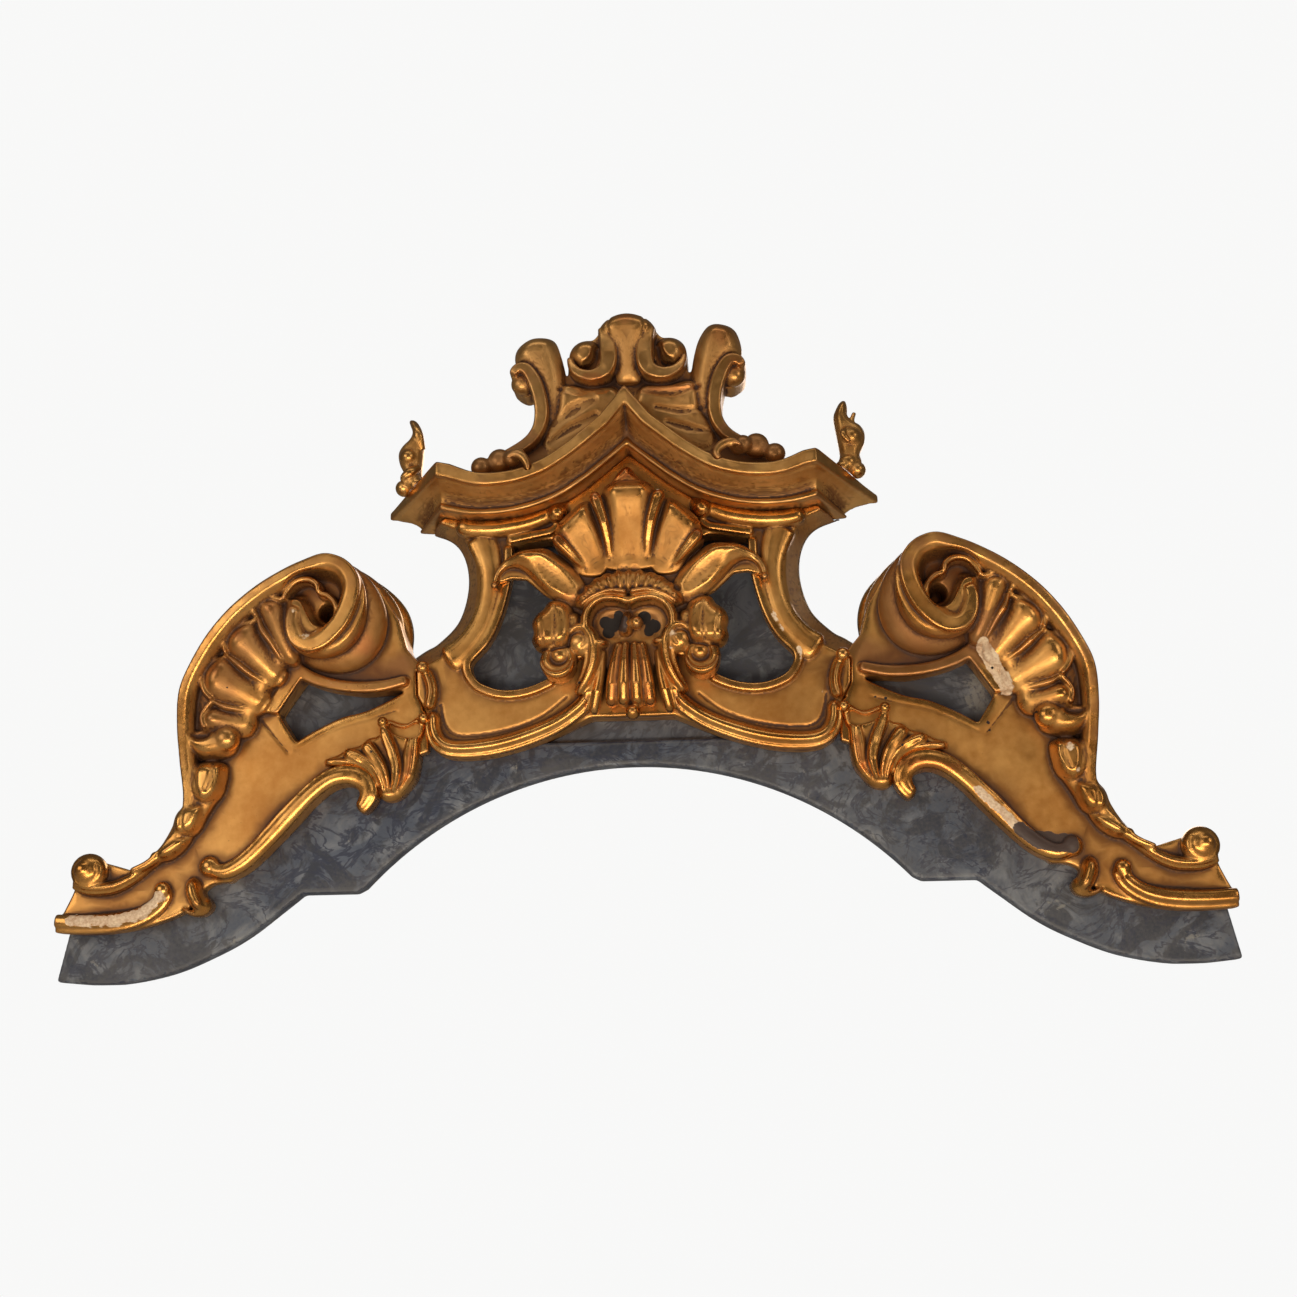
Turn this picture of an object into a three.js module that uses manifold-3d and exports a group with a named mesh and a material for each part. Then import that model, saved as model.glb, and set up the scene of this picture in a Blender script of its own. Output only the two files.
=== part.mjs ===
// A carved and gilded wooden pediment on a painted board, in millimetres, +Z up.
// The wall is the plane y = 0, the front looks along -Y, and x = 0 is the middle.
// The origin is on the back of the board, on the middle line, where a wall fixing holds it.
// Half shapes are given on the right, as [x, z], and are mirrored to the left.
import * as THREE from "three";
import { mergeVertices } from "three/addons/utils/BufferGeometryUtils.js";
import Module from "manifold-3d";

const wasm = await Module();
wasm.setup();

// Depths forward of the wall. Each layer stands on the one before it.
const groundThickness = 14; // sunk painted ground behind the openings
const boardThickness = 30; // painted band along the lower edge
const frameThickness = 24; // flat gilt field above the painted band
const filletRise = 7; // thin raised border beside the openings
const railRise = 18; // rolls along the lower edges
const clearance = 1; // how far a piece stays away from its neighbour, measured at its corners
const cutPast = 40; // how far a cut for an opening runs past the faces that it goes through

const fieldDepth = boardThickness + frameThickness;
const filletDepth = fieldDepth + filletRise;
const railDepth = fieldDepth + railRise;
const frameRoot = boardThickness + 4; // how deep mouldings reach into the frame behind them

// The painted board.
const halfWidth = 808;
const footBottom = -455;
const archRadius = 520;
const archTop = -172;
const archHalf = 378;
const stepDepth = -341;
const stepOuter = 466;
const ledgeHeight = -138; // top of the raised painted band in the middle

// The volute at the shoulder of each wing.
const eyeX = 421;
const eyeZ = 44;
const voluteDepth = 108;
const bandRise = 16; // spiral band above the face of the volute
const eyeRadius = 12;
const eyeHollow = 74; // depth of the conical hole in the eye
const voluteReach = [70, 78, 84, 80, 104, 114, 93, 80, 70]; // radius every 45 degrees, from outward and up
const voluteRibs = 3;

// The cornice over the middle.
const corniceDepth = 130;
const corniceHeight = 47;
const beadDepth = 92;
const corniceEnd = 266;
const corniceFlare = [1.24, 1.05, 1, 1, 1, 1]; // it grows taller towards its corner
const returnReach = 90; // how far the splayed return runs outward at the wall
const returnNear = 0.42; // share of the depth up to which the return runs straight back
const returnShrink = 0.72; // the return's height at the wall, as a share of its height in front
const returnDrop = 10; // how much lower the return meets the wall
const returnEdge = 6; // thickness of the return where it meets the wall
const peakMitre = 1.62; // the two slopes lean, so their profile stretches upward where they meet

// The shell in the middle.
const shellRoot = filletDepth + 1;
const shellDepth = 112;
const hingeZ = 56;

// The crown above the cornice.
const crownBack = 6; // gap behind the crown
const crownThickness = 50;
const crownRelief = 16;
const crownRoot = 20; // how deep its mouldings reach into its plate

const gold = { color: 0xb8862f, roughness: 0.38, metalness: 0.85 };
const oldGold = { color: 0x9a6c26, roughness: 0.45, metalness: 0.8 };
const marbling = { color: 0x55647a, roughness: 0.6, metalness: 0 };

// Points spaced along a smooth curve through the given ones.
function along(points, steps) {
  const curve = new THREE.SplineCurve(points.map(([x, z]) => new THREE.Vector2(x, z)));
  return curve.getSpacedPoints(steps).map((p) => [p.x, p.y]);
}

// Points along a round arc about a centre, angles in degrees.
function arc(x, z, radius, from, to, steps) {
  return Array.from({ length: steps + 1 }, (_, i) => {
    const angle = THREE.MathUtils.degToRad(from + ((to - from) * i) / steps);
    return [x + radius * Math.cos(angle), z + radius * Math.sin(angle)];
  });
}

// A path moved sideways, to its left as it runs, by a distance that may change along it.
function beside(path, distance) {
  return path.map(([x, z], i) => {
    const [x0, z0] = path[Math.max(i - 1, 0)];
    const [x1, z1] = path[Math.min(i + 1, path.length - 1)];
    const shift = at(distance, i / (path.length - 1)) / Math.hypot(x1 - x0, z1 - z0);
    return [x - (z1 - z0) * shift, z + (x1 - x0) * shift];
  });
}

// The value of an evenly spaced list at a share of its length; a plain number stays itself.
function at(list, share) {
  if (!Array.isArray(list)) return list;
  const place = share * (list.length - 1);
  const i = Math.min(Math.floor(place), list.length - 2);
  return THREE.MathUtils.lerp(list[i], list[i + 1], place - i);
}

// The other half of a right-hand outline that starts and ends on the middle line.
function bothHalves(half) {
  const left = half.filter(([x]) => x > 0.01).map(([x, z]) => [-x, z]);
  return half.concat(left.reverse());
}

// A closed skin over rings of [x, y, z] points; the end rings are filled in.
function loft(rings) {
  const count = rings[0].length;
  const index = [];
  for (let i = 0; i + 1 < rings.length; i++) {
    for (let j = 0; j < count; j++) {
      const a = i * count + j;
      const b = i * count + ((j + 1) % count);
      index.push(a, b, a + count, b, b + count, a + count);
    }
  }
  const last = (rings.length - 1) * count;
  for (const [start, ring] of [[0, rings[0]], [last, rings[rings.length - 1]]]) {
    for (const face of capFaces(ring)) {
      const [a, b, c] = face.map((k) => start + k);
      if (start === 0) index.push(a, c, b);
      else index.push(a, b, c);
    }
  }
  const geometry = new THREE.BufferGeometry();
  geometry.setAttribute("position", new THREE.Float32BufferAttribute(rings.flat(2), 3));
  geometry.setIndex(index);
  return geometry;
}

// Triangles that fill a ring, in the ring's own order, found on the plane it lies closest to.
function capFaces(ring) {
  const normal = new THREE.Vector3();
  ring.forEach((p, i) => {
    const q = ring[(i + 1) % ring.length];
    normal.x += (p[1] - q[1]) * (p[2] + q[2]);
    normal.y += (p[2] - q[2]) * (p[0] + q[0]);
    normal.z += (p[0] - q[0]) * (p[1] + q[1]);
  });
  const flat = new THREE.Quaternion().setFromUnitVectors(
    normal.normalize(),
    new THREE.Vector3(0, 0, 1),
  );
  const points = ring.map((p) => new THREE.Vector3(...p).applyQuaternion(flat));
  return THREE.ShapeUtils.triangulateShape(points.map((p) => new THREE.Vector2(p.x, p.y)), []);
}

// A flat plate between two depths.
function plate(outline, back, front) {
  const shape = new THREE.Shape(outline.map(([x, z]) => new THREE.Vector2(x, z)));
  const geometry = new THREE.ExtrudeGeometry(shape, { depth: front - back, bevelEnabled: false });
  return geometry.rotateX(Math.PI / 2).translate(0, -back, 0);
}

// A body between a back outline and a front outline that have the same number of points.
function splayed(backOutline, frontOutline, back, front) {
  const ring = (outline, depth) => outline.map(([x, z]) => [x, -depth, z]);
  return loft([ring(backOutline, back), ring(frontOutline, front)]);
}

// Sections across a moulding: share of the half width, share of the rise.
const roundSection = [[-1, 0], [-0.5, 0.9], [0.5, 0.9], [1, 0]];
const edgeSection = [[-1, 0], [0, 1], [1, 0]];

// A raised moulding along a path. Width, crest depth and rise may change from end to end.
function moulding({ path, width, crest, rise = 12, root = frameRoot, section = roundSection }) {
  const rings = path.map(([x, z], i) => {
    const before = path[Math.max(i - 1, 0)];
    const after = path[Math.min(i + 1, path.length - 1)];
    const run = Math.hypot(after[0] - before[0], after[1] - before[1]);
    const nx = -(after[1] - before[1]) / run;
    const nz = (after[0] - before[0]) / run;
    const share = i / (path.length - 1);
    const half = at(width, share) / 2;
    const top = at(crest, share);
    const low = Math.max(top - at(rise, share), root + 1);
    const place = (across, depth) => [x + nx * half * across, -depth, z + nz * half * across];
    const front = section.map(([across, up]) => place(across, THREE.MathUtils.lerp(low, top, up)));
    return [place(-1, root), ...front, place(1, root)];
  });
  return loft(rings);
}

// A swelling lobe from its head to its tail, like one gadroon or leaf.
function lobe({ from, to, width, crest, tail = crest, rise = 16, root = frameRoot, steps = 4 }) {
  const path = Array.from({ length: steps + 1 }, (_, i) => [
    at([from[0], to[0]], i / steps),
    at([from[1], to[1]], i / steps),
  ]);
  const swell = [0.5, 0.96, 1, 0.88, 0.74, 0.56].map((share) => share * width);
  const drop = [rise * 0.5, 0, 0, 0, 0, 0];
  const depths = drop.map((less, i) => THREE.MathUtils.lerp(crest, tail, i / 5) - less);
  return moulding({ path, width: swell, crest: depths, rise, root });
}

// A rounded boss, such as the eye of a curl.
function boss(x, z, depth, radius, thick = radius) {
  const sphere = new THREE.SphereGeometry(radius, 6, 4).rotateX(Math.PI / 2);
  return sphere.scale(1, thick / radius, 1).translate(x, -depth, z);
}

// The same shape on the other side of the middle line.
function mirrored(geometry) {
  return geometry.clone().applyMatrix4(new THREE.Matrix4().makeScale(-1, 1, 1));
}

function onBothSides(geometries) {
  return geometries.concat(geometries.map(mirrored));
}

// A closed geometry as a solid with its faces outward, each corner moved outward by a margin.
function solidOf(geometry, margin = 0) {
  const bare = new THREE.BufferGeometry();
  bare.setAttribute("position", geometry.getAttribute("position"));
  bare.setIndex(geometry.getIndex());
  const merged = mergeVertices(bare, 1e-3);
  const corners = Array.from(merged.index.array);
  const build = () =>
    new wasm.Manifold(
      new wasm.Mesh({
        numProp: 3,
        vertProperties: new Float32Array(merged.attributes.position.array),
        triVerts: new Uint32Array(corners),
      }),
    );
  if (build().volume() < 0) {
    for (let i = 0; i < corners.length; i += 3) {
      [corners[i + 1], corners[i + 2]] = [corners[i + 2], corners[i + 1]];
    }
  }
  if (margin) {
    merged.setIndex(corners);
    merged.computeVertexNormals();
    const { position, normal } = merged.attributes;
    for (let i = 0; i < position.count; i++) {
      position.setXYZ(
        i,
        position.getX(i) + normal.getX(i) * margin,
        position.getY(i) + normal.getY(i) * margin,
        position.getZ(i) + normal.getZ(i) * margin,
      );
    }
  }
  return build();
}

// The parts joined into one solid, then cut back from the neighbours' parts by the clearance.
function carve(parts, neighbours = [], hollows = []) {
  let piece = parts.map((g) => solidOf(g)).reduce((a, b) => a.add(b));
  for (const geometry of neighbours) piece = piece.subtract(solidOf(geometry, clearance));
  for (const geometry of hollows) piece = piece.subtract(solidOf(geometry));
  return piece;
}

// The largest body of a solid: slivers that a cut leaves beside a neighbour are dropped.
function mainBody(solid) {
  return solid.decompose().reduce((a, b) => (b.volume() > a.volume() ? b : a));
}

function named(name, solid, finish) {
  const { vertProperties, triVerts } = mainBody(solid).getMesh();
  const geometry = new THREE.BufferGeometry();
  geometry.setAttribute("position", new THREE.Float32BufferAttribute(vertProperties, 3));
  geometry.setIndex(Array.from(triVerts));
  geometry.computeVertexNormals();
  const mesh = new THREE.Mesh(geometry, new THREE.MeshStandardMaterial(finish));
  mesh.name = name;
  return mesh;
}

// Painted board: lower edge of one half, from the middle of the arch out to the foot.
const archSweep = THREE.MathUtils.radToDeg(Math.asin(archHalf / archRadius));
const boardLowerEdge = [
  ...arc(0, archTop - archRadius, archRadius, 90, 90 - archSweep, 10),
  [archHalf + 12, stepDepth],
  ...along(
    [
      [stepOuter, stepDepth], [497, -365], [540, -397], [584, -421], [650, -447], [730, -460],
      [halfWidth, footBottom],
    ],
    8,
  ),
];
const boardBehindFrame = [
  [790, -372], [700, -352], [630, -330], [590, -260], [556, -180], [540, -100], [500, -24],
  [400, -44], [330, -40], [288, -60], [252, -36], [228, 0], [204, 50], [200, 120], [196, 160], [0, 174],
];
const bandBehindFrame = [
  [790, -372], [700, -366], [630, -345], [560, -300], [490, -215], [430, -170], [380, -160],
  [300, -118], [200, -134], [120, ledgeHeight], [0, ledgeHeight],
];
const boardParts = [
  plate(bothHalves([...boardLowerEdge, ...boardBehindFrame]), 0, groundThickness),
  plate(bothHalves([...boardLowerEdge, ...bandBehindFrame]), 0, boardThickness),
];

// Middle frame: waist returns, the two openings and the two lower lobes.
const lobeEdge = [
  [58, -108], [100, -127], [142, -144], [190, -156], [238, -161], [270, -152], [287, -128],
  [289, -96],
];
const waistBack = [
  [318, -4], [300, 8], [283, 18], [254, 50], [241, 98], [246, 140], [266, 167], [308, 181],
];
const waistFront = [
  [304, -36], [284, -24], [256, -8], [234, 20], [219, 70], [221, 120], [240, 164], [273, 182],
];
const corniceLine = along(
  [[corniceEnd, 190], [228, 182], [186, 181], [145, 187], [101, 202], [60, 227], [25, 255], [0, 276]],
  8,
);

// One half of the frame, which reaches a little past the middle line.
function halfFrame(waist) {
  const past = -1;
  return [
    [past, -108],
    ...along(lobeEdge, 8),
    [303, -70],
    ...along(waist, 8),
    ...corniceLine,
    [past, 275],
  ];
}

const openingEdge = [
  [50, 132], [113, 151], [172, 143],
  ...along(
    [
      [173, 110], [178, 78], [190, 36], [206, 4], [231, -26], [222, -52], [200, -66], [172, -71],
      [140, -66], [112, -52], [70, -20],
    ],
    9,
  ),
];
const openingFillet = along(
  [
    [172, 143], [174, 110], [179, 78], [191, 36], [207, 4], [232, -26], [222, -54], [200, -68],
    [172, -73], [140, -68], [108, -54],
  ],
  8,
);

function middleFrameParts() {
  const oneSide = [
    splayed(halfFrame(waistBack), halfFrame(waistFront), 0, fieldDepth),
    moulding({
      path: openingFillet,
      width: 14,
      crest: filletDepth,
      rise: filletRise,
      section: edgeSection,
    }),
    moulding({
      path: [[178, 150], [112, 163], [98, 176]],
      width: 13,
      crest: filletDepth,
      rise: filletRise,
    }),
    boss(102, 186, filletDepth, 11),
    // Convex band up the waist.
    moulding({
      path: along([[262, -22], [236, -2], [212, 34], [200, 80], [202, 120], [214, 158]], 5),
      width: [44, 34, 30, 34, 46],
      crest: fieldDepth + 8,
      rise: 10,
    }),
    // Swelling frieze under the cornice.
    moulding({
      path: [[248, 178], [226, 170], [186, 169], [146, 176], [112, 190]],
      width: 24,
      crest: fieldDepth + 16,
      rise: 14,
    }),
    // Roll along the lower lobe, from its curl beside the shell to the leaf.
    moulding({
      path: along(
        [
          [62, -6], [52, -22], [50, -52], [66, -88], [100, -114], [142, -132], [190, -145],
          [240, -149], [266, -142], [278, -122], [279, -94],
        ],
        11,
      ),
      width: [20, 20, 24, 26, 24, 20],
      crest: [railDepth + 8, railDepth + 4, railDepth, railDepth, railDepth, railDepth],
      rise: 14,
    }),
    boss(70, -14, railDepth, 16),
    moulding({
      path: along([[96, -82], [134, -108], [186, -124], [240, -128], [262, -112], [268, -80]], 5),
      width: 9,
      crest: filletDepth,
      rise: filletRise,
      section: edgeSection,
    }),
    // Roll that closes the frame against the wing.
    moulding({
      path: along([[290, -40], [283, -62], [286, -92]], 3),
      width: 18,
      crest: railDepth - 2,
      rise: 12,
    }),
    boss(292, -34, railDepth - 6, 10),
  ];
  return onBothSides(oneSide);
}
const middleParts = middleFrameParts();
const openings = onBothSides([plate(openingEdge, -cutPast, fieldDepth + cutPast)]);

// Wing: the flat field with its side opening, rolls, gadroons, husks and volute.
const shoulder = along(
  [
    [700, -306], [674, -294], [650, -272], [630, -246], [623, -210], [629, -155], [632, -108],
    [628, -60], [611, -22], [586, 16], [556, 50], [518, 80], [480, 102], [440, 117],
  ],
  10,
);
const wingOutline = [
  [798, -386], [700, -389], [656, -378], [620, -362], [592, -330], [560, -325],
  ...along(
    [[534, -302], [502, -264], [475, -230], [450, -206], [420, -191], [392, -190], [372, -206]],
    7,
  ),
  [340, -170], [286, -150], [286, -40], [318, -2], [330, 40], [360, 90],
  ...[...shoulder].reverse(),
  [752, -290], [776, -310], [782, -332], [797, -366],
];
const sideOpening = [
  [478, -38], [512, -88], [483, -131],
  ...along([[483, -131], [451, -115], [411, -98], [371, -88], [316, -62]], 4).slice(1),
  ...along([[344, -68], [386, -70], [428, -60], [478, -38]], 4).slice(0, -1),
];
const lowerRail = [
  [352, -240], [368, -216], [364, -196], [388, -178], [420, -178], [452, -198], [482, -232],
  [512, -270], [542, -304], [566, -316],
];
const footRoll = [[776, -318], [756, -328], [724, -332], [692, -322], [662, -304], [640, -276]];
const rimWidth = [14, 16, 18, 22, 26, 30, 36];
const rimCrest = [72, 76, 80, 86, 96, 108, 120];

// Distance from the volute's axis to its skin, by direction and by share of the depth.
function voluteRadius(turn, share) {
  const reach = at(voluteReach, turn);
  const bulge = at([0.94, 1, 1, 0.9, 0.62], share);
  const ribs = 0.93 + 0.07 * Math.abs(Math.sin(Math.PI * (share * voluteRibs + turn)));
  return reach * bulge * ribs;
}

function voluteBody() {
  const levels = 6;
  const around = 14;
  const rings = Array.from({ length: levels + 1 }, (_, i) => {
    const share = i / levels;
    return Array.from({ length: around }, (_, j) => {
      const angle = (2 * Math.PI * j) / around;
      const radius = voluteRadius(j / around, share);
      return [eyeX + radius * Math.cos(angle), -share * voluteDepth, eyeZ + radius * Math.sin(angle)];
    });
  });
  return loft(rings);
}

// Centre line of the spiral band: it starts at the shoulder and winds in towards the eye.
const spiralReach = [66, 52, 44, 60, 58, 36, 22, 20];
function spiralPath(steps) {
  return Array.from({ length: steps + 1 }, (_, i) => {
    const share = i / steps;
    const angle = THREE.MathUtils.degToRad(62 + 380 * share);
    const reach = at(spiralReach, share);
    return [eyeX + reach * Math.cos(angle), eyeZ + reach * Math.sin(angle)];
  });
}

const gadroons = [
  { from: [498, 72], to: [474, -14], width: 40, crest: 112, tail: 88 },
  { from: [544, 34], to: [496, -34], width: 48, crest: 104, tail: 82 },
  { from: [584, -20], to: [516, -64], width: 48, crest: 96, tail: 76 },
  { from: [598, -88], to: [540, -84], width: 36, crest: 86, tail: 70 },
];
const husks = [[606, -170, 20], [600, -204, 19], [612, -238, 16], [632, -268, 12]];

function wingParts() {
  return [
    plate(wingOutline, 0, fieldDepth),
    // Rim that climbs the shoulder and becomes the spiral band of the volute.
    moulding({
      path: beside(shoulder, rimWidth.map((w) => w / 2 - 1)),
      width: rimWidth,
      crest: rimCrest,
      rise: 12,
    }),
    voluteBody(),
    moulding({
      path: spiralPath(17),
      width: [34, 30, 30, 34, 26, 18],
      crest: voluteDepth + bandRise,
      rise: bandRise,
      root: voluteDepth - 30,
      section: edgeSection,
    }),
    ...gadroons.map((shape) => lobe({ ...shape, rise: 22 })),
    // Ground that the gadroons swell from.
    plate(
      [[470, -20], [508, -78], [540, -120], [590, -100], [600, -40], [560, 30], [500, 80], [450, 60]],
      frameRoot,
      fieldDepth + 8,
    ),
    // Hook and crescent under the gadroons, and the husks that hang from it.
    boss(573, -130, 74, 20, 18),
    moulding({
      path: along([[612, -112], [604, -140], [582, -152], [560, -146]], 5),
      width: [10, 18, 16, 8],
      crest: 84,
      rise: 12,
    }),
    ...husks.map(([x, z, r]) => boss(x, z, fieldDepth + 6, r, 16)),
    // Foot: scroll above, moulded rail below.
    moulding({ path: along(footRoll, 6), width: [18, 20, 18, 16, 14, 10], crest: railDepth, rise: 12 }),
    boss(754, -307, fieldDepth + 8, 24, 20),
    moulding({
      path: along([[796, -381], [740, -382], [690, -376], [656, -363], [644, -344]], 5),
      width: 20,
      crest: railDepth - 2,
      rise: 14,
    }),
    boss(646, -338, fieldDepth + 4, 10),
    boss(612, -343, fieldDepth + 2, 16, 18),
    // Rail along the lower edge, with a curl at each end.
    moulding({
      path: along(lowerRail, 11),
      width: [16, 20, 26, 26, 26, 24, 18],
      crest: railDepth,
      rise: 14,
      root: boardThickness + 2,
    }),
    boss(584, -306, fieldDepth + 6, 14),
    boss(360, -232, fieldDepth - 4, 13, 20),
    // Fillets round the side opening.
    moulding({
      path: along([[482, -26], [430, -50], [386, -60], [344, -58], [306, -44]], 5),
      width: 14,
      crest: filletDepth + 4,
      rise: filletRise,
      section: edgeSection,
    }),
    moulding({
      path: along([[306, -52], [330, -76], [372, -92], [412, -104], [452, -122], [478, -138]], 5),
      width: 12,
      crest: filletDepth,
      rise: filletRise,
      section: edgeSection,
    }),
    moulding({
      path: [[478, -140], [522, -90]],
      width: 12,
      crest: filletDepth,
      rise: filletRise,
      section: edgeSection,
    }),
  ];
}
const rightWing = wingParts();
const sideWindow = plate(sideOpening, -cutPast, fieldDepth + cutPast);
// Conical hole in the eye, which starts in front of the face.
const voluteEye = new THREE.ConeGeometry(
  eyeRadius * (1 + cutPast / eyeHollow),
  eyeHollow + cutPast,
  14,
).translate(eyeX - 2, -(voluteDepth + cutPast) + (eyeHollow + cutPast) / 2, eyeZ + 6);

// Acanthus leaf that covers the joint between the middle and a wing.
const acanthusRibs = [
  [[306, -100], [298, -128], [312, -176], [340, -212]],
  [[334, -104], [322, -134], [328, -178], [346, -212]],
  [[366, -122], [346, -144], [340, -184], [350, -212]],
  [[398, -140], [368, -154], [350, -186], [354, -208]],
  [[424, -156], [392, -164], [364, -182], [356, -204]],
];

function acanthusParts() {
  return acanthusRibs.flatMap((rib, i) => [
    moulding({
      path: along(rib, 4),
      width: [16, 24, 24, 20, 14, 10],
      crest: [76, 82, 80, 72, 62, 52].map((d) => d - 1.5 * i),
      rise: 12,
      root: boardThickness + clearance,
      section: edgeSection,
    }),
  ]);
}

// Cornice: a moulding with fillet, cove and bead that follows the ogee line.
const corniceSection = [
  [0, 0], [0, beadDepth - 4], [3, beadDepth], [8, beadDepth], [9, beadDepth - 6], [18, beadDepth + 2],
  [26, corniceDepth - 22], [30, corniceDepth - 6], [33, corniceDepth],
  [corniceHeight, corniceDepth], [corniceHeight + 6, corniceDepth - 30], [corniceHeight + 6, 0],
];

function corniceParts() {
  const rings = corniceLine.map(([x, z], i) => {
    const before = corniceLine[Math.max(i - 1, 0)];
    const after = corniceLine[Math.min(i + 1, corniceLine.length - 1)];
    const run = Math.hypot(after[0] - before[0], after[1] - before[1]);
    const normal = [(after[1] - before[1]) / run, -(after[0] - before[0]) / run];
    const first = i === 0;
    const last = i === corniceLine.length - 1;
    const taller = at(corniceFlare, i / (corniceLine.length - 1));
    return corniceSection.map(([rise, depth]) => {
      const up = rise * taller;
      // The end on the middle line is a mitre, so its points go straight up.
      if (last) return [-0.5, -depth, z + up * peakMitre];
      if (first) return [x, -depth, z + up];
      return [x + normal[0] * up, -depth, z + normal[1] * up];
    });
  });
  const corner = corniceSection.map(([up, depth]) => [
    corniceEnd,
    -depth,
    corniceLine[0][1] + up * corniceFlare[0],
  ]);
  const share = (depth) => depth / corniceDepth;
  const wallEnd = corniceSection.map(([up, depth]) => [
    corniceEnd + returnReach * Math.max(share(depth), returnNear) ** 2,
    -Math.min(depth, returnEdge),
    corniceLine[0][1] + up * returnShrink - returnDrop,
  ]);
  return onBothSides([loft(rings), loft([corner, wallEnd])]);
}

// Shell with its skirt, side volutes and pendant.
const fanOutline = [
  [0, 212], [38, 200], [46, 196], [74, 190], [96, 174], [106, 148], [106, 126], [140, 122],
  [166, 116], [190, 98], [192, 76], [166, 86], [140, 84], [114, 78], [96, 56], [116, 40],
  [118, 10], [90, -16], [56, -2], [34, -20], [28, -84], [0, -96],
];
const middleFlute = { from: [3, 216], to: [3, 96], width: 68, crest: shellDepth + 4, tail: 88 };
const sideFlute = { from: [72, 176], to: [30, 84], width: 70, crest: shellDepth - 2, tail: 88 };
const shellRibs = [[[38, 200], [26, 150], [20, 104]], [[92, 150], [66, 108], [44, 80]]];

function shellParts() {
  const root = shellRoot;
  const lowRoot = fieldDepth + clearance;
  const wing = along([[52, 66], [96, 94], [130, 104], [160, 104], [184, 92], [190, 78]], 5);
  const oneSide = [
    lobe({ ...sideFlute, rise: 26, root }),
    ...shellRibs.map((rib) => moulding({
      path: along(rib, 3),
      width: [16, 14, 12],
      crest: [shellDepth + 2, 104, 92],
      rise: 10,
      root,
      section: edgeSection,
    })),
    moulding({
      path: wing,
      width: [36, 52, 46, 34, 22, 10],
      crest: [92, 104, 104, 98, 90, 80],
      rise: 18,
      root,
    }),
    // Skirt of small flutes under the hinge.
    ...[14, 44].map((x) => lobe({
      from: [x * 1.3, hingeZ - 4],
      to: [x * 0.8, hingeZ + 40],
      width: 30,
      crest: 108,
      tail: 90,
      rise: 12,
      root,
      steps: 2,
    })),
    // Curled rim over each hollow.
    moulding({ path: arc(30, 16, 24, 200, -60, 6), width: 14, crest: 102, rise: 12, root }),
    boss(20, -6, 92, 9),
    // Leaf and scroll at the side.
    lobe({ from: [104, 50], to: [98, -20], width: 50, crest: 98, tail: 94, rise: 16, root }),
    boss(98, -30, 84, 26, 26),
    // Strands that fan out below.
    moulding({
      path: along([[28, -28], [36, -70], [58, -104], [74, -118]], 3),
      width: [10, 14, 14, 8],
      crest: [88, 84, 80, 72],
      rise: 10,
      section: edgeSection,
      root: lowRoot,
    }),
  ];
  const middle = [
    lobe({ ...middleFlute, rise: 30, root }),
    boss(0, 12, 80, 16, 18),
    plate(bothHalves(fanOutline), root, root + 16),
    ...[-22, 0, 22].map((x) => moulding({
      path: [[x * 0.7, -2], [x, -50], [x * 1.15, -92]],
      width: [16, 18, 20],
      crest: [84, 94, 96],
      rise: 12,
      section: edgeSection,
      root: lowRoot,
    })),
    boss(0, -106, 70, 11, 12),
    // Small leaf above the shell.
    moulding({
      path: [[8, 206], [-4, 226], [2, 250]],
      width: [34, 26, 8],
      crest: [92, 84, 70],
      rise: 14,
      root: lowRoot,
    }),
  ];
  return [...middle, ...onBothSides(oneSide)];
}

// Crown above the cornice.
const crownOutline = [
  [0, 230], [60, 236], [120, 232], [170, 240], [222, 244], [216, 268], [186, 278], [160, 290],
  [143, 306],
  [134, 326], [133, 350], [138, 374], [152, 372], [168, 384], [170, 400], [162, 424], [158, 444],
  [140, 456],
  [118, 450], [104, 436], [96, 408], [88, 394], [88, 424], [76, 434], [60, 444], [50, 450],
  [44, 470], [30, 484], [0, 490],
];

function crownParts() {
  const front = crownThickness + crownRelief;
  const oneSide = [
    moulding({
      path: arc(48, 406, 28, 120, -170, 7),
      width: 18,
      crest: front + 8,
      rise: 14,
      root: crownRoot,
    }),
    boss(52, 412, crownThickness, 24, 22),
    moulding({
      path: along(
        [[166, 398], [142, 386], [124, 356], [124, 326], [136, 302], [168, 282], [206, 262]],
        7,
      ),
      width: [16, 22, 20, 16, 14],
      crest: front,
      rise: 14,
      root: crownRoot,
    }),
    boss(154, 388, crownThickness + 4, 17, 18),
    moulding({
      path: along([[136, 440], [118, 410], [92, 370], [58, 340], [30, 330]], 5),
      width: [44, 40, 44, 40, 26],
      crest: [front, front + 4, front, 50, 44],
      rise: 18,
      root: crownRoot,
    }),
    moulding({
      path: along([[100, 260], [140, 262], [190, 252], [216, 244]], 3),
      width: [16, 28, 22, 10],
      crest: 64,
      rise: 14,
      root: crownRoot,
    }),
    boss(146, 244, 88, 16, 14),
  ];
  const fan = lobe({
    from: [2, 484],
    to: [2, 372],
    width: 78,
    crest: front + 2,
    tail: front - 10,
    rise: 18,
    root: crownRoot,
  });
  return [plate(bothHalves(crownOutline), crownBack, crownThickness), fan, ...onBothSides(oneSide)];
}

// Flame and broken stump that stand on the cornice returns.
const leftFlame = [[-306, 244], [-312, 268], [-302, 296], [-298, 316], [-312, 338]];
const rightStump = [[306, 244], [312, 270], [306, 300], [302, 318], [308, 342]];

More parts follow.
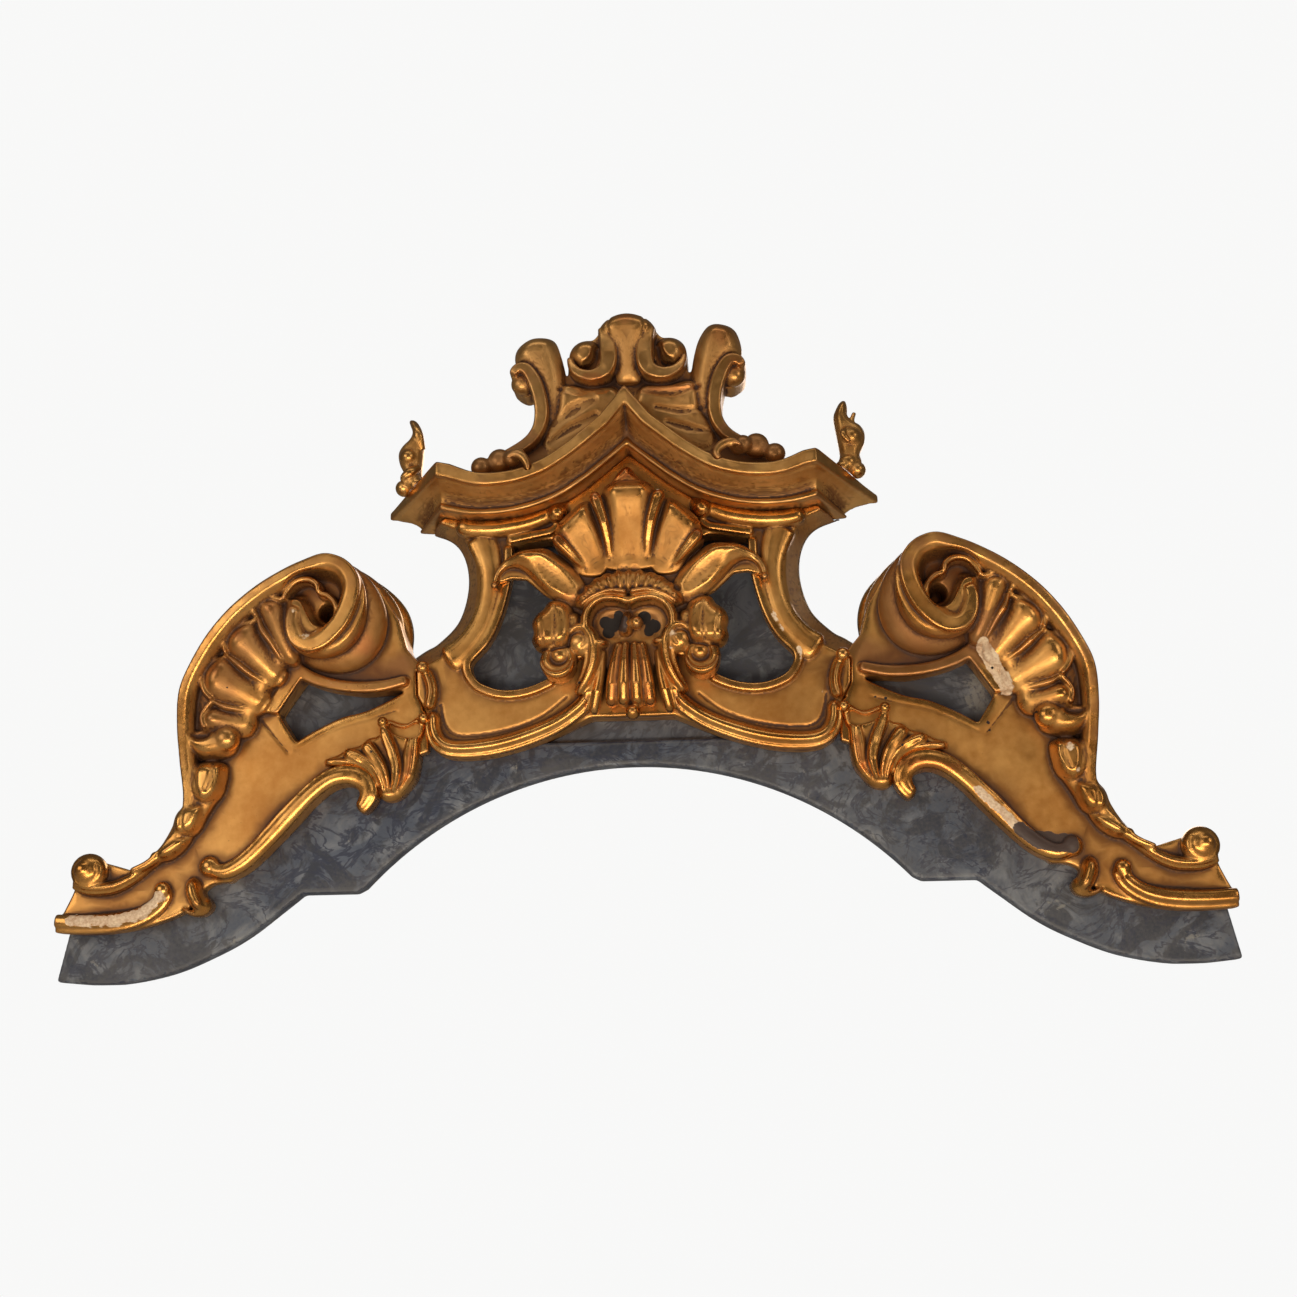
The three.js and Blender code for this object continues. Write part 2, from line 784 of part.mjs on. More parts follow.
function finialParts(path, knot) {
  return [
    moulding({
      path: along(path, 5),
      width: [30, 34, 26, 16, 6],
      crest: [84, 82, 76, 70, 64],
      rise: 12,
      root: 44,
    }),
    ...knot.map(([x, z, r]) => boss(x, z, 68, r)),
  ];
}
const leftKnot = [[-306, 252, 18], [-322, 238, 14], [-326, 274, 8]];
const rightKnot = [[306, 252, 18], [324, 238, 14], [317, 290, 16]];

const cornice = corniceParts();
const rightAcanthus = acanthusParts();
const leftWing = rightWing.map(mirrored);

const group = new THREE.Group();
group.add(
  named("painted_board", carve(boardParts), marbling),
  named("middle_frame", carve(middleParts, [...boardParts, ...cornice], openings), gold),
  named("right_wing", carve(rightWing, [...boardParts, ...middleParts], [sideWindow, voluteEye]), gold),
  named(
    "left_wing",
    carve(leftWing, [...boardParts, ...middleParts], [sideWindow, voluteEye].map(mirrored)),
    gold,
  ),
  named("right_acanthus", carve(rightAcanthus, [...middleParts, ...rightWing]), gold),
  named("left_acanthus", carve(rightAcanthus.map(mirrored), [...middleParts, ...leftWing]), gold),
  named("cornice", carve(cornice), oldGold),
  named("shell_cartouche", carve(shellParts(), middleParts), gold),
  named("crown", carve(crownParts(), cornice), oldGold),
  named("left_finial", carve(finialParts(leftFlame, leftKnot), cornice), oldGold),
  named("right_finial", carve(finialParts(rightStump, rightKnot), cornice), oldGold),
);

export default group;
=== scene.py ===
# %% [markdown]
# A carved, gilded and painted wooden pediment, such as crowns an altar or a door.
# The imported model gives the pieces, their sizes and their places. This script gives them their
# fine carving, gold leaf, worn gesso and marbled paint, and sets up a camera and soft light.
# All carving is worked out in millimetres, as [x, z] seen from the front, with depths measured
# forward of the wall, and is turned into metres when a piece becomes a Blender mesh.

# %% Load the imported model
import math

import bpy
import numpy as np
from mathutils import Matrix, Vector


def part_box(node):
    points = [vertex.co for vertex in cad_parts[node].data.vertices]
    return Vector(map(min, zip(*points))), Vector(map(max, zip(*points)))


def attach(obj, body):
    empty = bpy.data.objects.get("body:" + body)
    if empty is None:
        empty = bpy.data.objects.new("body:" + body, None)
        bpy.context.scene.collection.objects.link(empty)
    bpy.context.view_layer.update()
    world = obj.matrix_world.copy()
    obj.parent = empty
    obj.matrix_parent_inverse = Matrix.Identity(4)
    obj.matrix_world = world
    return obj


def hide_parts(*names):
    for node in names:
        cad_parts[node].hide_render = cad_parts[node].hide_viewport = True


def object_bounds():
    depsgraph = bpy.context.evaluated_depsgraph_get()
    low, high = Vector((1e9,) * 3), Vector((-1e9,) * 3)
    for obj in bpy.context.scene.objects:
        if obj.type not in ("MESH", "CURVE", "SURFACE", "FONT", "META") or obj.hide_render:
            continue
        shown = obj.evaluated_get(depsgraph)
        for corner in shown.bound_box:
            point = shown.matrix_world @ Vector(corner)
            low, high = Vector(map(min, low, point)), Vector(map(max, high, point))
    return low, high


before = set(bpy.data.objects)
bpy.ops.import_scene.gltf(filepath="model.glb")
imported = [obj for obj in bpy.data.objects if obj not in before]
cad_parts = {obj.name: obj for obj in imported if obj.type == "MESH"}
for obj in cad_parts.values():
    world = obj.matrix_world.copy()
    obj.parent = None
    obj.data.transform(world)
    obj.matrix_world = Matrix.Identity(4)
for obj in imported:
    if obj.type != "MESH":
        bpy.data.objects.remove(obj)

import openvdb
from mathutils import Matrix, Vector
from mathutils.geometry import tessellate_polygon

MM = 0.001
cad_low, cad_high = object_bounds()
print("packed pieces:", ", ".join(sorted(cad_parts)))

# %% [markdown]
# The camera stands a little to the right of the middle and below the piece, and looks up at it,
# as a visitor does. Its axes are built from an azimuth, an elevation and a small roll.

# %% Camera
PICTURE_SIDE = 1297
FOCAL_PIXELS = 1819
SENSOR = 36
azimuth = math.radians(3.76)
elevation = math.radians(-13.01)
roll = math.radians(-0.96)
distance = 2.6
aim = Vector((0.0202, 0, 0))

stand = aim + distance * Vector((
    math.sin(azimuth) * math.cos(elevation),
    -math.cos(azimuth) * math.cos(elevation),
    math.sin(elevation),
))
ahead = (aim - stand).normalized()
level = ahead.cross(Vector((0, 0, 1))).normalized()
upright = level.cross(ahead)
right = math.cos(roll) * level + math.sin(roll) * upright
up = math.cos(roll) * upright - math.sin(roll) * level

camera_data = bpy.data.cameras.new("camera")
camera_data.sensor_width = SENSOR
camera_data.lens = FOCAL_PIXELS * SENSOR / PICTURE_SIDE
camera = bpy.data.objects.new("camera", camera_data)
camera.matrix_world = Matrix((right, up, -ahead)).transposed().to_4x4()
camera.matrix_world.translation = stand
bpy.context.scene.collection.objects.link(camera)
bpy.context.scene.camera = camera
print("camera at", [round(v, 3) for v in stand], "lens", round(camera_data.lens, 2), "mm")

# %% [markdown]
# Shader maths is easier to read as Python expressions. A Signal wraps one output socket, and
# arithmetic on it adds Math nodes to the same material. A Finish is one material under
# construction. Every node, of a material or of the room, comes from add_node.


# %% Shader helpers
def add_node(tree, kind, settings, inputs):
    """A new node of a tree: its settings are set first, then the values or links of its sockets."""
    made = tree.nodes.new(kind)
    for name, value in settings.items():
        setattr(made, name, value)
    for name, value in inputs.items():
        feed(tree, made.inputs[name], value)
    return made


def feed(tree, socket, value):
    """Links a signal or another node's output to a socket, or sets the socket to a plain value."""
    if isinstance(value, Signal):
        value = value.socket
    if isinstance(value, bpy.types.NodeSocket):
        tree.links.new(value, socket)
    else:
        socket.default_value = value


class Signal:
    """A number that varies over a surface."""

    def __init__(self, finish, socket):
        self.finish = finish
        self.socket = socket

    def math(self, operation, first, second, clamp=False):
        settings = {"operation": operation, "use_clamp": clamp}
        return self.finish.node("ShaderNodeMath", settings, {0: first, 1: second})

    def __add__(self, other):
        return self.math("ADD", self, other)

    def __sub__(self, other):
        return self.math("SUBTRACT", self, other)

    def __rsub__(self, other):
        return self.math("SUBTRACT", other, self)

    def __mul__(self, other):
        return self.math("MULTIPLY", self, other)

    __radd__ = __add__
    __rmul__ = __mul__

    def clipped(self):
        return self.math("ADD", self, 0, clamp=True)

    def rising(self, low, high):
        """0 below low, 1 above high, and a smooth step between; falling where low is above high."""
        ends = {"Value": self, "From Min": low, "From Max": high}
        return self.finish.node("ShaderNodeMapRange", {"interpolation_type": "SMOOTHSTEP"}, ends)


class Finish:
    """One material, built node by node."""

    def __init__(self, name):
        self.material = bpy.data.materials.new(name)
        self.material.use_nodes = True
        self.tree = self.material.node_tree
        self.shader = self.tree.nodes["Principled BSDF"]
        self.place = self.node("ShaderNodeTexCoord", {}, {}, "Object")

    def node(self, kind, settings, inputs, output=0):
        return Signal(self, add_node(self.tree, kind, settings, inputs).outputs[output])

    def attribute(self, name):
        return self.node("ShaderNodeAttribute", {"attribute_name": name}, {}, "Fac")

    def stretched(self, scale):
        """The place on the piece, stretched by a scale for each axis."""
        inputs = {"Vector": self.place, "Scale": scale}
        return self.node("ShaderNodeMapping", {}, inputs)

    def noise(self, size, detail=4, rough=0.55, distortion=0.0, place=None):
        """Cloudy noise from 0 to 1, whose clouds are about size metres across."""
        inputs = {
            "Vector": place or self.place,
            "Scale": 1 / size,
            "Detail": detail,
            "Roughness": rough,
            "Distortion": distortion,
        }
        return self.node("ShaderNodeTexNoise", {}, inputs)

    def mix(self, share, below, above):
        """A colour between two colours, by a share that may vary."""
        inputs = {"Factor": share, 6: colour(below), 7: colour(above)}
        return self.node("ShaderNodeMix", {"data_type": "RGBA"}, inputs, 2)

    def ridges(self, height, distance, strength=1.0):
        """Fine relief, with heights from 0 to 1 that stand for the given distance in metres."""
        inputs = {"Height": height, "Distance": distance, "Strength": strength}
        feed(self.tree, self.shader.inputs["Normal"], self.node("ShaderNodeBump", {}, inputs))

    def surface(self, **inputs):
        for name, value in inputs.items():
            feed(self.tree, self.shader.inputs[name.replace("_", " ").title()], value)


def colour(value):
    """A colour as a socket wants it: a signal as it is, red, green and blue with an alpha of 1."""
    return value if isinstance(value, Signal) else (*value, 1)


# %% [markdown]
# Old water gilding is a thin skin of gold over red clay, called bole, over white gesso. Where it
# is rubbed, the bole shows, and where it is knocked, the gesso shows. Dust and varnish gather
# brown in the hollows, and the same brown also serves as painted shade there. The carving gives
# each point two numbers for this: "crease" is negative in narrow hollows and positive on sharp
# edges, and "shelter" says the same of broad forms. The painted attributes for gesso, bole and
# bare wood mark the places of real damage; those for bare wood, worm holes and age also paint
# shadow in a few places.


# %% Gilding
def gilding(name, bright, deep, dirt_and_shade, gloss):
    finish = Finish(name)
    clouds = finish.noise(0.11, 3)
    mottle = finish.noise(0.013, 5, 0.6)
    specks = finish.noise(0.0035, 2)
    scratches = finish.noise(0.004, 3, 0.6, 0.0, finish.stretched((1, 1, 0.12)))
    crease = finish.attribute("crease")
    shelter = finish.attribute("shelter")
    leaf = finish.mix((clouds * 0.7 + mottle * 0.3).rising(0.3, 0.7), deep, bright)

    # Thin leaf on the forms that are handled and dusted lets the warm clay glow through.
    warm = (finish.attribute("bole") + mottle * 0.5).rising(0.45, 0.9)
    leaf = finish.mix(warm * 0.75, leaf, (0.44, 0.125, 0.032))
    # Age browns the leaf, and the same mark paints shadow under the volutes and in the shell's hollows.
    age_and_shade = (finish.attribute("darkened") + (clouds - 0.5) * 0.4).rising(0.1, 0.9)
    leaf = finish.mix(age_and_shade * 0.75, leaf, (0.22, 0.088, 0.030))
    rubbed = (crease + mottle * 0.6 + clouds * 0.2).rising(0.8, 1.25)
    leaf = finish.mix(rubbed * 0.45, leaf, (0.44, 0.19, 0.08))
    # Brown glaze and dark grime in the hollows are dust and varnish, and also painted shade.
    glaze_and_shade = (shelter * -1.2 - crease * 0.6 + clouds * 0.35).rising(0.12, 0.9)
    leaf = finish.mix(glaze_and_shade * 0.8, leaf, (0.145, 0.052, 0.015))
    grime_and_shade = (shelter * -0.6 - crease * 1.0 + mottle * 0.3 - 0.12).rising(0.4, 1.2)
    leaf = finish.mix((grime_and_shade * dirt_and_shade).clipped(), leaf, (0.042, 0.015, 0.007))
    dots = specks.rising(0.71, 0.77) * mottle.rising(0.45, 0.62)
    leaf = finish.mix(dots * 0.5, leaf, (0.09, 0.034, 0.014))

    # Knocks down to the gesso have ragged edges.
    chipped = (finish.attribute("gesso") + (mottle - 0.5) * 0.9).rising(0.48, 0.56)
    uneven = (specks * 0.5 + mottle * 0.5).rising(0.3, 0.65)
    chalk = finish.mix(uneven, (0.48, 0.29, 0.17), (0.78, 0.62, 0.43))
    leaf = finish.mix(chipped, leaf, chalk)
    # Bare wood shows dark, and the same mark paints shadow beside the shell's hinge.
    bare = (finish.attribute("bare") + (mottle - 0.5) * 0.5).rising(0.46, 0.54)
    wood = finish.mix(clouds, (0.035, 0.020, 0.016), (0.085, 0.05, 0.038))
    leaf = finish.mix(bare, leaf, wood)
    # Worm holes are near black, and the same mark paints black shadow in the deep hollows of the shell.
    holes = finish.attribute("worm_and_shadow").rising(0.45, 0.55)
    leaf = finish.mix(holes, leaf, (0.008, 0.004, 0.003))

    dull = (grime_and_shade * 0.7 + chipped + bare + holes + age_and_shade * 0.25).clipped()
    burnish = (shelter + crease * 0.4).rising(0.0, 0.6)
    finish.surface(
        base_color=leaf,
        metallic=(1 - dull) * (0.76 + burnish * 0.2),
        roughness=(gloss + 0.2 - burnish * 0.18 + mottle * 0.12 + dull * 0.3 + rubbed * 0.1).clipped(),
    )
    relief = mottle * 0.45 + specks * 0.25 + scratches * 0.25 - chipped * 0.6 - bare * 0.5 - holes
    finish.ridges(relief, 0.0007, 0.4)
    return finish.material


gold = gilding("gilding", (0.68, 0.36, 0.105), (0.43, 0.18, 0.038), 0.9, 0.17)
dull_gold = gilding("dull_gilding", (0.74, 0.42, 0.14), (0.47, 0.22, 0.056), 0.95, 0.22)
print("two gildings made, each of", len(gold.node_tree.nodes), "nodes")

# %% [markdown]
# The board behind is painted to look like blue-grey marble: a slate ground, dark navy veins drawn
# wet, and cloudy patches of warm grey. The veins are the thin lines where two warped noises cross
# their middle value.


# %% Marbled paint and bare wood
def aged_wood_colour(finish):
    grain = finish.noise(0.012, 6, 0.6, 0.8, finish.stretched((0.12, 1, 1)))
    return finish.mix(grain, (0.055, 0.032, 0.018), (0.19, 0.12, 0.07))


def marbling():
    finish = Finish("marbled_paint")
    drift = finish.noise(0.20, 4, 0.6, 1.2)
    patches = finish.noise(0.075, 5, 0.58, 1.6)
    smear = finish.noise(0.062, 5, 0.6, 2.0)
    thread = finish.noise(0.085, 4, 0.6, 1.6, finish.stretched((1.0, 1.0, 1.5)))
    grit = finish.noise(0.004, 3)
    ground = finish.mix(drift.rising(0.3, 0.7), (0.036, 0.049, 0.080), (0.072, 0.090, 0.128))
    ground = finish.mix(patches.rising(0.44, 0.68) * 0.85, ground, (0.165, 0.182, 0.212))
    blots = (smear + drift * 0.25).rising(0.575, 0.72)
    ground = finish.mix(blots * 0.9, ground, (0.012, 0.016, 0.032))
    line = finish.node("ShaderNodeMath", {"operation": "ABSOLUTE"}, {0: thread - 0.5})
    veins = (line + smear * 0.05 - 0.02).rising(0.042, 0.012)
    ground = finish.mix(veins * 0.85, ground, (0.012, 0.018, 0.046))
    flecks = (patches + grit * 0.25).rising(0.78, 0.85)
    ground = finish.mix(flecks * 0.6, ground, (0.27, 0.265, 0.24))
    # Painted light lifts the sunk ground inside the windows toward pale grey.
    ground = finish.mix(finish.attribute("sunk_painted_light") * 0.3, ground, (0.13, 0.13, 0.13))
    edge = (finish.attribute("crease") + grit * 0.4).rising(0.55, 0.9)
    ground = finish.mix(edge * 0.25, ground, (0.20, 0.19, 0.17))
    ground = finish.mix(finish.attribute("back"), ground, aged_wood_colour(finish))
    finish.surface(base_color=ground, roughness=(0.36 + grit * 0.25).clipped())
    finish.ridges(patches * 0.5 + grit * 0.4, 0.0008, 0.4)
    return finish.material


marble = marbling()
print("marbled paint made of", len(marble.node_tree.nodes), "nodes")

# %% [markdown]
# The room and its floor are plain and pale. Gold shows what it mirrors, so the lights are large
# soft panels in front, and a weak one behind keeps the bare back from going black.

# %% Floor, room and light
FLOOR_Z = -1.35


def pale(name):
    finish = Finish(name)
    tint = finish.mix(finish.noise(0.6, 2), (0.90, 0.90, 0.90), (0.94, 0.94, 0.935))
    finish.surface(base_color=tint, roughness=0.9)
    return finish.material


def panel_of(name, corners, material):
    mesh = bpy.data.meshes.new(name)
    mesh.from_pydata(corners, [], [range(len(corners))])
    mesh.materials.append(material)
    made = bpy.data.objects.new(name, mesh)
    bpy.context.scene.collection.objects.link(made)


floor_corners = [(-6, -6, FLOOR_Z), (6, -6, FLOOR_Z), (6, 3, FLOOR_Z), (-6, 3, FLOOR_Z)]
panel_of("floor", floor_corners, pale("pale_floor"))


def soft_light(name, place, target, width, height, power, tint=(1, 1, 1)):
    data = bpy.data.lights.new(name, "AREA")
    data.shape = "RECTANGLE"
    data.size = width
    data.size_y = height
    data.energy = power
    data.color = tint
    lamp = bpy.data.objects.new(name, data)
    lamp.location = place
    lamp.rotation_euler = (Vector(target) - Vector(place)).to_track_quat("-Z", "Y").to_euler()
    bpy.context.scene.collection.objects.link(lamp)


soft_light("window_left", (-1.9, -2.4, 0.35), (-0.2, 0, 0), 1.6, 1.3, 17, (1.0, 0.94, 0.86))
soft_light("window_right", (2.3, -2.2, 0.7), (0.3, 0, 0), 0.9, 1.3, 11, (1.0, 0.93, 0.84))
soft_light("low_glow", (0.1, -2.2, -1.15), (0, 0, 0), 2.4, 0.5, 36, (1.0, 0.86, 0.68))
soft_light("top_strip", (0.0, -1.3, 2.1), (0, 0, 0.2), 2.6, 0.4, 9, (1.0, 0.96, 0.92))
soft_light("behind", (0.6, 2.6, 0.9), (0, 0, 0), 2.0, 1.2, 22, (1.0, 0.97, 0.93))

# The room lights the piece dimly, and is seen as a pale ground behind it.
world = bpy.data.worlds.new("room")
world.use_nodes = True
room = world.node_tree
room.nodes.clear()
dim = add_node(room, "ShaderNodeBackground", {}, {"Color": (0.80, 0.74, 0.66, 1), "Strength": 0.14})
seen = add_node(room, "ShaderNodeBackground", {}, {"Color": (0.94, 0.94, 0.935, 1)})
rays = add_node(room, "ShaderNodeLightPath", {}, {})
either = add_node(room, "ShaderNodeMixShader", {}, {
    "Fac": rays.outputs["Is Camera Ray"],
    1: dim.outputs[0],
    2: seen.outputs[0],
})
add_node(room, "ShaderNodeOutputWorld", {}, {"Surface": either.outputs[0]})
bpy.context.scene.world = world
bpy.context.scene.view_settings.view_transform = "Standard"
print("stage and lights made")

# %% [markdown]
# Carvers draw a mould from curves, so the helpers start with paths: smooth curves through a few
# points, read off evenly, and lists of sizes that change along them.


# %% Paths
def resample(points, shares):
    """Points at the given shares of a path's length."""
    steps = np.linalg.norm(np.diff(points, axis=0), axis=1)
    run = np.concatenate([[0], np.cumsum(steps)])
    return np.stack([np.interp(np.asarray(shares) * run[-1], run, c) for c in points.T], axis=1)


def length_of(points):
    return np.linalg.norm(np.diff(points, axis=0), axis=1).sum()


def along(points, steps=48):
    """Evenly spaced points on a smooth curve through the given ones."""
    given = np.asarray(points, float)
    ends = np.vstack([given[:1], given, given[-1:]])
    t = np.linspace(0, 1, 25)[:-1, None]
    runs = []
    for a, b, c, d in zip(ends, ends[1:], ends[2:], ends[3:]):
        leave, arrive = (c - a) / 2, (d - b) / 2
        cubic = 2 * b - 2 * c + leave + arrive
        square = 3 * c - 3 * b - 2 * leave - arrive
        runs.append(cubic * t**3 + square * t**2 + leave * t + b)
    return resample(np.vstack(runs + [given[-1:]]), np.linspace(0, 1, steps + 1))


def loop(points, steps=72):
    """Evenly spaced points on a smooth closed curve through the given ones."""
    given = np.asarray(points, float)
    t = np.linspace(0, 1, 13)[:-1, None]
    runs = []
    for i in range(len(given)):
        a, b, c, d = (given[(i + k) % len(given)] for k in (-1, 0, 1, 2))
        leave, arrive = (c - a) / 2, (d - b) / 2
        cubic = 2 * b - 2 * c + leave + arrive
        square = 3 * c - 3 * b - 2 * leave - arrive
        runs.append(cubic * t**3 + square * t**2 + leave * t + b)
    closed = np.vstack(runs + [given[:1]])
    return resample(closed, np.linspace(0, 1, steps + 1))[:-1]


def side_of(points, side):
    """A smooth closed outline, on the right half for side 1 or mirrored for side -1."""
    return loop(points) * (side, 1)


def straight(points, steps=24):
    return resample(np.asarray(points, float), np.linspace(0, 1, steps + 1))


def arc(x, z, radius, start, end, steps=32):
    """Points on a round arc, angles in degrees."""
    angles = np.radians(np.linspace(start, end, steps + 1))
    return np.stack([x + radius * np.cos(angles), z + radius * np.sin(angles)], axis=1)


def at(values, share):
    """The values of an evenly spaced list at some shares of its length."""
    values = np.atleast_1d(np.asarray(values, float))
    count = max(len(values), 2)
    return np.interp(share, np.linspace(0, 1, count), np.resize(values, count))


def beside(path, shift):
    """A path moved to its left, as it runs, by a shift that may change along it."""
    run = np.gradient(path, axis=0)
    run /= np.linalg.norm(run, axis=1)[:, None]
    shifts = at(shift, np.linspace(0, 1, len(path)))[:, None]
    return path + np.stack([-run[:, 1], run[:, 0]], axis=1) * shifts


def both_halves(half):
    """A whole outline from its right half, which starts and ends on the middle line."""
    half = np.asarray(half, float)
    left = half[half[:, 0] > 0.01] * (-1, 1)
    return np.vstack([half, left[::-1]])


# %% [markdown]
# A shape is a closed surface as points [x, y, z] and triangles. The simplest are a flat board
# with holes, as a saw leaves it, and a skin over a row of rings, as a turned or bent form has.


# %% Flat and ringed shapes
def place_front(outline, depth):
    """[x, z] points as [x, y, z] points at a depth forward of the wall."""
    outline = np.asarray(outline, float)
    return np.stack([outline[:, 0], np.full(len(outline), -depth), outline[:, 1]], axis=1)


def fill(outlines):
    """Triangles that fill a flat outline, less the outlines inside it."""
    loops = [[Vector((x, z, 0)) for x, z in outline] for outline in outlines]
    return np.array(tessellate_polygon(loops))


def plate(outline, back, front, holes=()):
    """A flat board between two depths, with holes through it."""
    outlines = [np.asarray(o, float) for o in (outline, *holes)]
    flat = np.vstack(outlines)
    count = len(flat)
    lids = fill(outlines)
    faces = [lids, lids[:, ::-1] + count]
    start = 0
    for o in outlines:
        i = start + np.arange(len(o))
        j = start + (np.arange(len(o)) + 1) % len(o)
        faces += [np.stack([i, j, i + count], axis=1), np.stack([j, j + count, i + count], axis=1)]
        start += len(o)
    return np.vstack([place_front(flat, back), place_front(flat, front)]), np.vstack(faces)


def loft(rings, fans=True):
    """A closed skin over rings of points; each end is closed by a fan or a filled outline."""
    rings = np.asarray(rings, float)
    rows, count = rings.shape[:2]
    i = np.arange(rows - 1)[:, None] * count + np.arange(count)
    j = np.arange(rows - 1)[:, None] * count + (np.arange(count) + 1) % count
    i, j = i.ravel(), j.ravel()
    points = rings.reshape(-1, 3)
    faces = [np.stack([i, j, i + count], axis=1), np.stack([j, j + count, i + count], axis=1)]
    for start, ring in ((0, rings[0]), ((rows - 1) * count, rings[-1])):
        if fans:
            a = start + np.arange(count)
            b = start + (np.arange(count) + 1) % count
            faces.append(np.stack([a, b, np.full(count, len(points))], axis=1))
            points = np.vstack([points, ring.mean(axis=0)])
        else:
            faces.append(fill([ring[:, [0, 2]]]) + start)
    return points, np.vstack(faces)


# %% [markdown]
# Mouldings, lobes and stalks are all a cross-section swept along a path, with a width, a crest
# depth and a rise that change on the way, and with rounded ends, as a gouge leaves them.


# %% Swept shapes
def dome(power=1.0, steps=12):
    """A half-round section: shares of the half width and of the rise."""
    angles = np.linspace(math.pi, 0, steps + 1)
    return np.stack([np.cos(angles), np.sin(angles) ** power], axis=1)


# Raised forms reach back to this depth, hidden in the board that they stand on.
ROOT = 34
ROUND = dome()
# A flat face with slightly rounded edges.
FLAT = np.array([
    (-1, 0), (-0.96, 0.75), (-0.84, 0.97), (-0.7, 1), (0.7, 1), (0.84, 0.97), (0.96, 0.75), (1, 0),
])
# A roll with a small fillet on its left, split by a groove.
ROLL = np.array([
    (-1, 0), (-0.97, 0.5), (-0.86, 0.62), (-0.66, 0.6), (-0.56, 0.42), (-0.46, 0.62), (-0.3, 0.86),
    (-0.05, 1), (0.25, 0.98), (0.55, 0.82), (0.8, 0.5), (0.95, 0.2), (1, 0),
])
ROLL_RIGHT = ROLL[::-1] * (-1, 1)


def moulding(path, width, crest, rise=12, root=ROOT, section=ROUND, ends=(1, 1)):
    """A raised moulding. Width, crest depth and rise may be lists that change along it."""
    long = length_of(path)
    first = 0.5 * at(width, 0) / long * ends[0]
    last = 0.5 * at(width, 1) / long * ends[1]
    near = np.array([0, 0.02, 0.08, 0.18, 0.32, 0.5, 0.72])
    shares = np.unique(np.clip(np.concatenate([
        np.linspace(0, 1, max(int(long / 3.5), 12)), near * first, 1 - near * last,
    ]), 0, 1))
    spots = resample(path, shares)
    run = np.gradient(spots, axis=0)
    run /= np.maximum(np.linalg.norm(run, axis=1), 1e-9)[:, None]
    taper = np.ones(len(shares))
    for reach_in, gone in ((first, shares), (last, 1 - shares)):
        if reach_in > 0:
            taper *= np.sqrt(np.clip(1 - (1 - np.minimum(gone / reach_in, 1)) ** 2, 0.01, 1))
    half = at(width, shares) / 2 * taper
    low = np.maximum(at(crest, shares) - at(rise, shares), root + 1)
    top = low + (at(crest, shares) - low) * taper
    across = np.vstack([[(-1, 0)], section, [(1, 0)]])
    rings = np.empty((len(shares), len(across), 3))
    for k, (side, lift) in enumerate(across):
        depth = low + (top - low) * lift if 0 < k < len(across) - 1 else np.full(len(shares), root)
        rings[:, k, 0] = spots[:, 0] - run[:, 1] * half * side
        rings[:, k, 1] = -depth
        rings[:, k, 2] = spots[:, 1] + run[:, 0] * half * side
    return loft(rings)


SWELL = np.array([0.62, 0.9, 1, 0.98, 0.9, 0.8, 0.7, 0.58])


def lobe(start, end, width, crest, tail, rise, root):
    """A swelling lobe from its head to its tail, like a small leaf."""
    start, end = np.array(start, float), np.array(end, float)
    path = along([start, (start + end) / 2, end], 24)
    depths = crest + (tail - crest) * np.linspace(0, 1, 8) ** 1.3
    return moulding(path, SWELL * width, depths, rise, root)


def ball(x, z, depth, radius, thick=None, steps=20):
    """A rounded boss, such as the eye of a curl."""
    thick = thick or radius
    polar = np.linspace(0.02, math.pi - 0.02, steps // 2 + 1)
    turn = np.linspace(0, 2 * math.pi, steps, endpoint=False)
    rings = np.empty((len(polar), steps, 3))
    rings[..., 0] = x + radius * np.sin(polar)[:, None] * np.cos(turn)
    rings[..., 1] = -depth + thick * np.cos(polar)[:, None]
    rings[..., 2] = z + radius * np.sin(polar)[:, None] * np.sin(turn)
    return loft(rings)


def stem(path, radius, flat=1.0, steps=12):
    """A round stalk along a path of [x, z, depth] points. It may be flattened front to back."""
    path = np.asarray(path, float)
    centre = np.stack([path[:, 0], -path[:, 2], path[:, 1]], axis=1)
    run = np.gradient(centre, axis=0)
    run /= np.linalg.norm(run, axis=1)[:, None]
    aside = np.cross(run, (0, 1, 0))
    aside /= np.maximum(np.linalg.norm(aside, axis=1), 1e-6)[:, None]
    out = np.cross(aside, run)
    sizes = at(radius, np.linspace(0, 1, len(path)))[:, None, None]
    turn = np.linspace(0, 2 * math.pi, steps, endpoint=False)[None, :, None]
    ring = np.cos(turn) * aside[:, None] + flat * np.sin(turn) * out[:, None]
    return loft(centre[:, None] + sizes * ring)


def mirrored(shape):
    return shape[0] * (-1, 1, 1), shape[1]


def on_both_sides(shapes):
    return list(shapes) + [mirrored(s) for s in shapes]


# %% [markdown]
# Each piece is carved from a block. The block is a grid of distances to the surface, negative
# inside the wood, kept with OpenVDB. Adding a shape takes the smaller distance and cutting one
# away takes the larger, and a small blend at the meeting line gives the soft fillets that gesso
# and leaf leave over carving. The skin where the distance is zero becomes the mesh.


# %% The block of wood
def evened(depths):
    """Averages each depth with its neighbours, which takes the sharp ridge off a crest."""
    wide = np.pad(depths, 1, mode="edge")
    across = wide[:-2] + 2 * wide[1:-1] + wide[2:]
    return (across[:, :-2] + 2 * across[:, 1:-1] + across[:, 2:]) / 16


